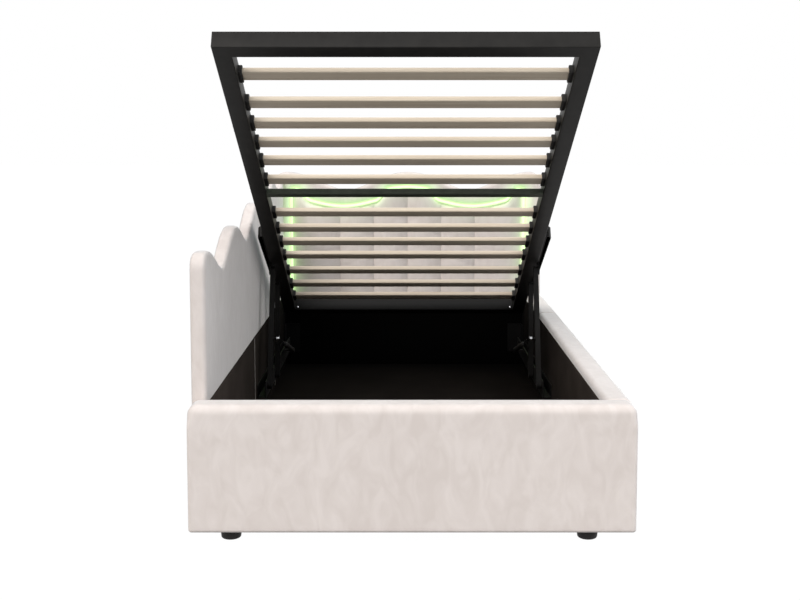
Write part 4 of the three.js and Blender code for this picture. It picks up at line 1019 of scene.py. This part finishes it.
# %% Copying and turning shapes
def instance_tree(name, finish):
    tree = bpy.data.node_groups.new(name, "GeometryNodeTree")
    tree.is_modifier = True
    for label, kind in (("Places", "Geometry"), ("Shape", "Object"), ("Size", "Float"),
                        ("Spread", "Float"), ("Seed", "Int")):
        tree.interface.new_socket(name=label, in_out="INPUT", socket_type="NodeSocket" + kind)
    tree.interface.new_socket(name="Copies", in_out="OUTPUT", socket_type="NodeSocketGeometry")
    given = add_node(tree, "NodeGroupInput").outputs
    shape = add_node(tree, "GeometryNodeObjectInfo")
    turn = add_node(tree, "GeometryNodeInputNamedAttribute", {"Name": "turn"}, data_type="FLOAT_VECTOR")
    copies = add_node(tree, "GeometryNodeInstanceOnPoints")
    jitter = add_node(tree, "FunctionNodeRandomValue", data_type="FLOAT")
    real = add_node(tree, "GeometryNodeRealizeInstances")
    coat = add_node(tree, "GeometryNodeSetMaterial", {"Material": finish})
    out = add_node(tree, "NodeGroupOutput")
    smallest, largest = (add_math(tree, kind, given["Size"], given["Spread"]) for kind in ("SUBTRACT", "ADD"))
    for start, end in (
            (given["Places"], copies.inputs["Points"]), (given["Shape"], shape.inputs["Object"]),
            (shape.outputs["Geometry"], copies.inputs["Instance"]),
            (turn.outputs["Attribute"], copies.inputs["Rotation"]),
            (smallest, jitter.inputs[2]), (largest, jitter.inputs[3]), (given["Seed"], jitter.inputs["Seed"]),
            (jitter.outputs[1], copies.inputs["Scale"]),
            (copies.outputs["Instances"], real.inputs["Geometry"]),
            (real.outputs["Geometry"], coat.inputs["Geometry"]),
            (coat.outputs["Geometry"], out.inputs["Copies"])):
        tree.links.new(start, end)
    return tree


def copied(name, shape, places, turns, finish, size=1.0, spread=0.0, seed=1):
    cloud = bpy.data.meshes.new(name + "_places")
    cloud.from_pydata([tuple(place) for place in places], [], [])
    turn = cloud.attributes.new("turn", "FLOAT_VECTOR", "POINT")
    turn.data.foreach_set("vector", np.array(turns, float).reshape(-1))
    host = put_in_scene(name + "_places", cloud)
    modifier = host.modifiers.new("copies", "NODES")
    modifier.node_group = instance_tree(name, finish)
    sockets = {item.name: item.identifier for item in modifier.node_group.interface.items_tree
               if item.in_out == "INPUT"}
    for label, value in (("Shape", shape), ("Size", size), ("Spread", spread), ("Seed", seed)):
        modifier[sockets[label]] = value
    bpy.context.view_layer.update()
    mesh = bpy.data.meshes.new_from_object(host.evaluated_get(bpy.context.evaluated_depsgraph_get()))
    mesh.name = name
    for helper in (host, shape):
        bpy.data.objects.remove(helper)
    return placed(name, mesh)


def lathed(name, profile, steps=28, finish=None, start=(0, 0, 0), heading=(0, 0, 1)):
    heading = np.array(heading, float)
    across = np.eye(3)[0 if abs(heading[0]) < 0.5 else 1]
    upward = np.cross(heading, across)
    turn = 2 * math.pi * np.arange(steps)[:, None, None] / steps
    radius, along = np.array(profile, float).T[..., None]
    rings = np.array(start) + along * heading + radius * (np.cos(turn) * across + np.sin(turn) * upward)
    number = np.arange(steps * len(profile)).reshape(steps, -1)
    faces = []
    for near, far in zip(number, np.roll(number, -1, axis=0)):
        faces += zip(near[:-1], far[:-1], far[1:], near[1:])
    return new_piece(name, rings, faces, finish)


print("copying and turning ready")

# %% [markdown]
# ## The slats
# Each slat is a strip of laminated wood with softened edges. Its ends drop into clips on the side
# rails. The slats lie in the platform's slope, so the shape is a rounded section as long as a slat
# and each place gets the same tilt.

# %% Slats
SLOPE = math.radians(28.6)
SLAT_WIDTH = 41 * MM
SLAT_DEPTH = 15 * MM
SLAT_ROUND = 3.2 * MM
SLAT_NODES = [f"slat_{i:02d}" for i in range(1, 14)]


def rounded_section(width, depth, radius, steps=4):
    w, d = width / 2 - radius, depth / 2 - radius
    corners = ((w, d, 0), (-w, d, 90), (-w, -d, 180), (w, -d, 270))
    return np.array([point for x, z, start in corners
                     for point in arc((x, z), radius, start, start + 90, steps)])


def long_shape(name, section, length, end_round):
    rings = []
    for x in spaced(-length / 2, length / 2, end_round, end_round, length / 6):
        inset = end_round - math.sqrt(max(end_round ** 2 - max(end_round - (length / 2 - abs(x)), 0) ** 2, 0))
        shrink = 1 - inset / np.abs(section).max(0)
        rings.append([(x, y * shrink[0], z * shrink[1]) for y, z in section])
    return ringed_piece(name, np.array(rings), None)


def make_slats():
    low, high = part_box(SLAT_NODES[0])
    shape = long_shape("slat", rounded_section(SLAT_WIDTH, SLAT_DEPTH, SLAT_ROUND), high.x - low.x, 2 * MM)
    places = [middle_of(node) for node in SLAT_NODES]
    return copied("slats", shape, places, [(-SLOPE, 0, 0)] * len(places), finishes["slat"])


dress(make_slats(), "platform", "slat", *SLAT_NODES)

# %% [markdown]
# ## The platform's frame
# Four square tubes are mitred and welded into one frame, and the weld is ground flush, so no joint
# shows. One rounded square section, carried round the four corners, makes all of it: at a corner
# the section is cut on the diagonal, because each point goes in from both sides at once. The
# plastic clips that hold the slats are little cups screwed to the side tubes.

# %% Frame and clips
PLATFORM_HALF = 470 * MM
PLATFORM_LENGTH = 1920 * MM
BOX_CENTRE = -16.5 * MM
RAISED_HEAD = Vector((0, 635 * MM, 316 * MM))
TUBE = 46 * MM
TUBE_ROUND = 2.6 * MM
CLIP_DEPTH = 10 * MM
CLIP_WALL = 5 * MM
CLIP_ROUND = 1.8 * MM
FRAME_NODES = [f"platform_{name}_rail" for name in ("foot", "head", "left", "right")]


def on_platform(across, along, above):
    """A place on the raised platform, from the middle, the head end and the underside."""
    return RAISED_HEAD + Vector((BOX_CENTRE + across,
                                 -along * math.cos(SLOPE) + above * math.sin(SLOPE),
                                 along * math.sin(SLOPE) + above * math.cos(SLOPE)))


def make_frame():
    section = rounded_section(TUBE, TUBE, TUBE_ROUND) + TUBE / 2
    rings = []
    for side, far in ((-1, 0), (1, 0), (1, 1), (-1, 1)):
        head, turn = far * PLATFORM_LENGTH, 1 - 2 * far
        rings.append([on_platform(side * (PLATFORM_HALF - inward), head + turn * inward, above)
                      for inward, above in section])
    # The frame's coat darkens toward the head rail as painted shade.
    return ringed_piece("platform_frame", np.array(rings), frame_steel_painted_shade, closed=True)


def make_clips():
    outer, shrunk, hole = (
        rounded_section(SLAT_WIDTH + wall, SLAT_DEPTH + wall, radius)
        for wall, radius in ((2 * CLIP_WALL, 2 * CLIP_ROUND), (2 * CLIP_WALL - CLIP_ROUND, 2 * CLIP_ROUND),
                             (2 * SEAM_GAP, SLAT_ROUND)))
    steps = ((0, outer), (CLIP_DEPTH - CLIP_ROUND / 2, outer), (CLIP_DEPTH, shrunk), (CLIP_DEPTH, hole),
             (1.5 * SEAM_GAP, hole))
    rings = [[(reach, y, z) for y, z in section] for reach, section in steps]
    shape = ringed_piece("clip", np.array(rings), None)
    places, turns = [], []
    for node in SLAT_NODES:
        for side in (-1, 1):
            places.append((BOX_CENTRE + side * (PLATFORM_HALF - TUBE), *middle_of(node).yz))
            turns.append((side * SLOPE, 0, math.pi * (side + 1) / 2))
    return copied("slat_clips", shape, places, turns, finishes["leg"])


dress(make_frame(), "platform", "steel", *FRAME_NODES)
dress(make_clips(), "platform", "leg")

# %% [markdown]
# ## Bolts and screws
# The pivot brackets are bolted through the side tubes, and each bolt ends in a domed head outside.
# The two bright screws inside the head rail are the only unpainted metal on the platform.

# %% Domed heads
BOLT_U = [1073.76 * MM, 1097.76 * MM, 1466.4 * MM, 1490.4 * MM]
SCREW_X = 415 * MM


def dome_profile(radius, height, rim):
    profile = [(0.0, 0.0), (radius, 0.0), (radius, rim)]
    for angle in np.radians(np.linspace(15, 90, 6)):
        profile.append((radius * math.cos(angle) * 0.96, rim + (height - rim) * math.sin(angle)))
    return profile


def make_bolts():
    shape = lathed("bolt", dome_profile(7.5 * MM, 6.0 * MM, 3.6 * MM), 20)
    places, turns = [], []
    for side in (-1, 1):
        for u in BOLT_U:
            places.append(on_platform(side * PLATFORM_HALF, u, TUBE / 2))
            turns.append((0, side * math.pi / 2, 0))
    return copied("platform_bolts", shape, places, turns, finishes["steel"])


def make_screws():
    shape = lathed("screw", dome_profile(3.8 * MM, 2.2 * MM, 0.7 * MM), 20)
    places = [on_platform(side * SCREW_X, TUBE + 0.05 * MM, TUBE * 0.25) for side in (-1, 1)]
    turns = [(math.pi / 2 - SLOPE, 0, 0)] * 2
    return copied("platform_screws", shape, places, turns, finishes["chrome"])


dress(make_bolts(), "platform", "steel")
dress(make_screws(), "platform", "chrome")

# %% [markdown]
# ## Gas struts
# A strut is a polished rod that slides into a painted cylinder, with an eye at each end. All of it
# is turned on a lathe, so one profile spun round the strut's own line makes each piece. The line
# comes from the model's joints: it starts at the pin on the front arm. An eye is spun round its pin.

# %% Struts
JOINTS = {joint["name"]: joint for joint in frame["joints"]}
STRUT_LENGTH = 578.1 * MM
STRUT_TUBE = 330 * MM
STRUT_INSIDE = 40 * MM
ROD_RADIUS = 4 * MM
TUBE_RADIUS = 9 * MM
EYE_RADIUS = 9 * MM
EYE_HOLE = 4.4 * MM
EYE_DEPTH = 10 * MM
EYE_SOFT = 1 * MM
NECK = EYE_RADIUS * 0.8
COLLAR_RADIUS = 5.5 * MM
STUD_RADIUS = 4.4 * MM
GLAND = 10 * MM
BORE = 7 * MM
TUBE_SOFT = 2.5 * MM
CRIMP = 0.7 * MM


def strut_line(name):
    start = Vector((middle_of(f"strut_rod_{name}").x, *JOINTS["strut_swing"]["pos_m"][1:]))
    return start, -Vector(JOINTS["strut_stroke"]["axis"]).normalized()


def make_eye(centre, finish):
    half = EYE_DEPTH / 2
    profile = [(EYE_HOLE, -half), (EYE_RADIUS - EYE_SOFT, -half), (EYE_RADIUS, -half + EYE_SOFT),
               (EYE_RADIUS, half - EYE_SOFT), (EYE_RADIUS - EYE_SOFT, half), (EYE_HOLE, half),
               (EYE_HOLE, -half)]
    return lathed("eye", profile, finish=finish, start=centre, heading=(1, 0, 0))


def joined(name, pieces):
    body = bmesh.new()
    mesh = bpy.data.meshes.new(name)
    mesh.materials.append(pieces[0].data.materials[0])
    for piece in pieces:
        body.from_mesh(piece.data)
        bpy.data.objects.remove(piece)
    body.to_mesh(mesh)
    body.free()
    return placed(name, mesh)


def make_rod(name):
    start, heading = strut_line(name)
    inside = STRUT_LENGTH - STRUT_TUBE + STRUT_INSIDE
    profile = [(0, NECK), (COLLAR_RADIUS, NECK), (COLLAR_RADIUS, 16 * MM), (ROD_RADIUS, 18 * MM),
               (ROD_RADIUS, inside), (0, inside)]
    return joined(f"strut_rod_{name}_turned", [
        lathed("rod", profile, 28, finishes["chrome"], start, heading), make_eye(start, finishes["chrome"])])


def make_tube(name):
    start, heading = strut_line(name)
    mouth, end = STRUT_LENGTH - STRUT_TUBE, STRUT_LENGTH - 28 * MM
    room, floor, neck = ROD_RADIUS + 0.4 * MM, end - 20 * MM, STRUT_LENGTH - NECK
    profile = [(room, mouth + GLAND), (room, mouth), (TUBE_RADIUS - TUBE_SOFT, mouth),
               (TUBE_RADIUS, mouth + TUBE_SOFT), (TUBE_RADIUS, mouth + 14 * MM),
               (TUBE_RADIUS - CRIMP, mouth + 15 * MM), (TUBE_RADIUS - CRIMP, mouth + 17 * MM),
               (TUBE_RADIUS, mouth + 18 * MM), (TUBE_RADIUS, end - TUBE_SOFT),
               (TUBE_RADIUS - TUBE_SOFT, end), (STUD_RADIUS, end), (STUD_RADIUS, neck), (0, neck),
               (0, floor), (BORE, floor), (BORE, mouth + GLAND), (room, mouth + GLAND)]
    return joined(f"strut_tube_{name}_turned", [
        lathed("tube", profile, 28, finishes["steel"], start, heading),
        make_eye(start + heading * STRUT_LENGTH, finishes["steel"])])


for name in ("left", "right"):
    dress(make_rod(name), "strut_rods", "chrome", f"strut_rod_{name}")
    dress(make_tube(name), "strut_tubes", "steel", f"strut_tube_{name}")

# %% [markdown]
# ## Feet
# The feet are moulded: a round body with a softly rounded sole and a fine groove near the top.

# %% Feet
FOOT_RADIUS = 27 * MM
SOLE_ROUND = 5.5 * MM


def make_feet(name, nodes):
    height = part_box(nodes[0])[1].z
    r = FOOT_RADIUS
    groove = r - 1 * MM
    profile = [(0, 0), *arc((r - 7 * MM, SOLE_ROUND), SOLE_ROUND, -90, 0, 5),
               (r - 0.6 * MM, 14 * MM), (r, height - 9 * MM), (r, height - 6.2 * MM),
               (groove, height - 5.6 * MM), (groove, height - 4.4 * MM), (r, height - 3.8 * MM),
               (r, height - 0.6 * MM), (r - 0.6 * MM, height), (0, height)]
    shape = lathed("foot", profile, 48)
    places = [(*middle_of(node).xy, 0) for node in nodes]
    return copied(name, shape, places, [(0, 0, 0)] * len(places), finishes["leg"])


for name, rows in (("end_feet", ("front", "rear")), ("middle_feet", ("middle",))):
    nodes = [f"leg_{row}_{side}" for row in rows for side in ("left", "right")]
    dress(make_feet(name, nodes), "base", "leg", *nodes)

# %% [markdown]
# ## Sewing and seams
# A row of small stitches closes each seam of the pad. Every stitch is the same short thread, and a
# little change in its size, drawn with a fixed seed, keeps the row from looking printed. In the
# box, a fine pale strip where two lining boards meet is painted light: it stands for the light that
# shows at the joint.

# %% Stitches and painted light at the lining joints
STITCH_PITCH = 7 * MM
STITCH_LENGTH = 5 * MM
STITCH_THICK = 0.9 * MM
STITCH_ROOM = 10 * MM
LINING_JOINT_LIGHTS = [(-517.5 * MM, -51 * MM, 343 * MM, 2.2 * MM), (-517.5 * MM, 560 * MM, 200 * MM, 1.6 * MM)]
EDGE_PROUD = 0.5 * MM


def make_stitches():
    shape = long_shape("stitch", rounded_section(STITCH_THICK, STITCH_THICK, STITCH_THICK / 2.2, 2),
                       STITCH_LENGTH, STITCH_THICK / 2.5)
    places = []
    for seam in SEAM_PLACES[1:-1]:
        top = PAD_CREST - RECESS_LOBE * (1 - recess_lobe(seam)) - 3 * STITCH_ROOM
        for up in np.arange(pad_low.z + STITCH_ROOM, top, STITCH_PITCH):
            places.append((seam, pad_high.y - PAD_SEAM_DEPTH - 0.2 * STITCH_THICK, up))
    return copied("pad_stitches", shape, places, [(0, math.pi / 2, 0)] * len(places), thread,
                  spread=0.08, seed=4)


def make_lining_joint_light():
    # Painted light: each pale strip stands for the light showing at a joint of the lining.
    floor_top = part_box("floor_front")[1].z
    bodies = []
    for wall, along, top, width in LINING_JOINT_LIGHTS:
        section = rounded_section(width, 2 * EDGE_PROUD, 0.4 * EDGE_PROUD, 2)
        rings = [[(wall + x, along + y, z) for y, x in section] for z in (floor_top + MM, top)]
        bodies.append(ringed_piece("edge", np.array(rings), thread))
    return joined("lining_edges", bodies)


dress(make_stitches(), "base", "velvet")
dress(make_lining_joint_light(), "base", "board")
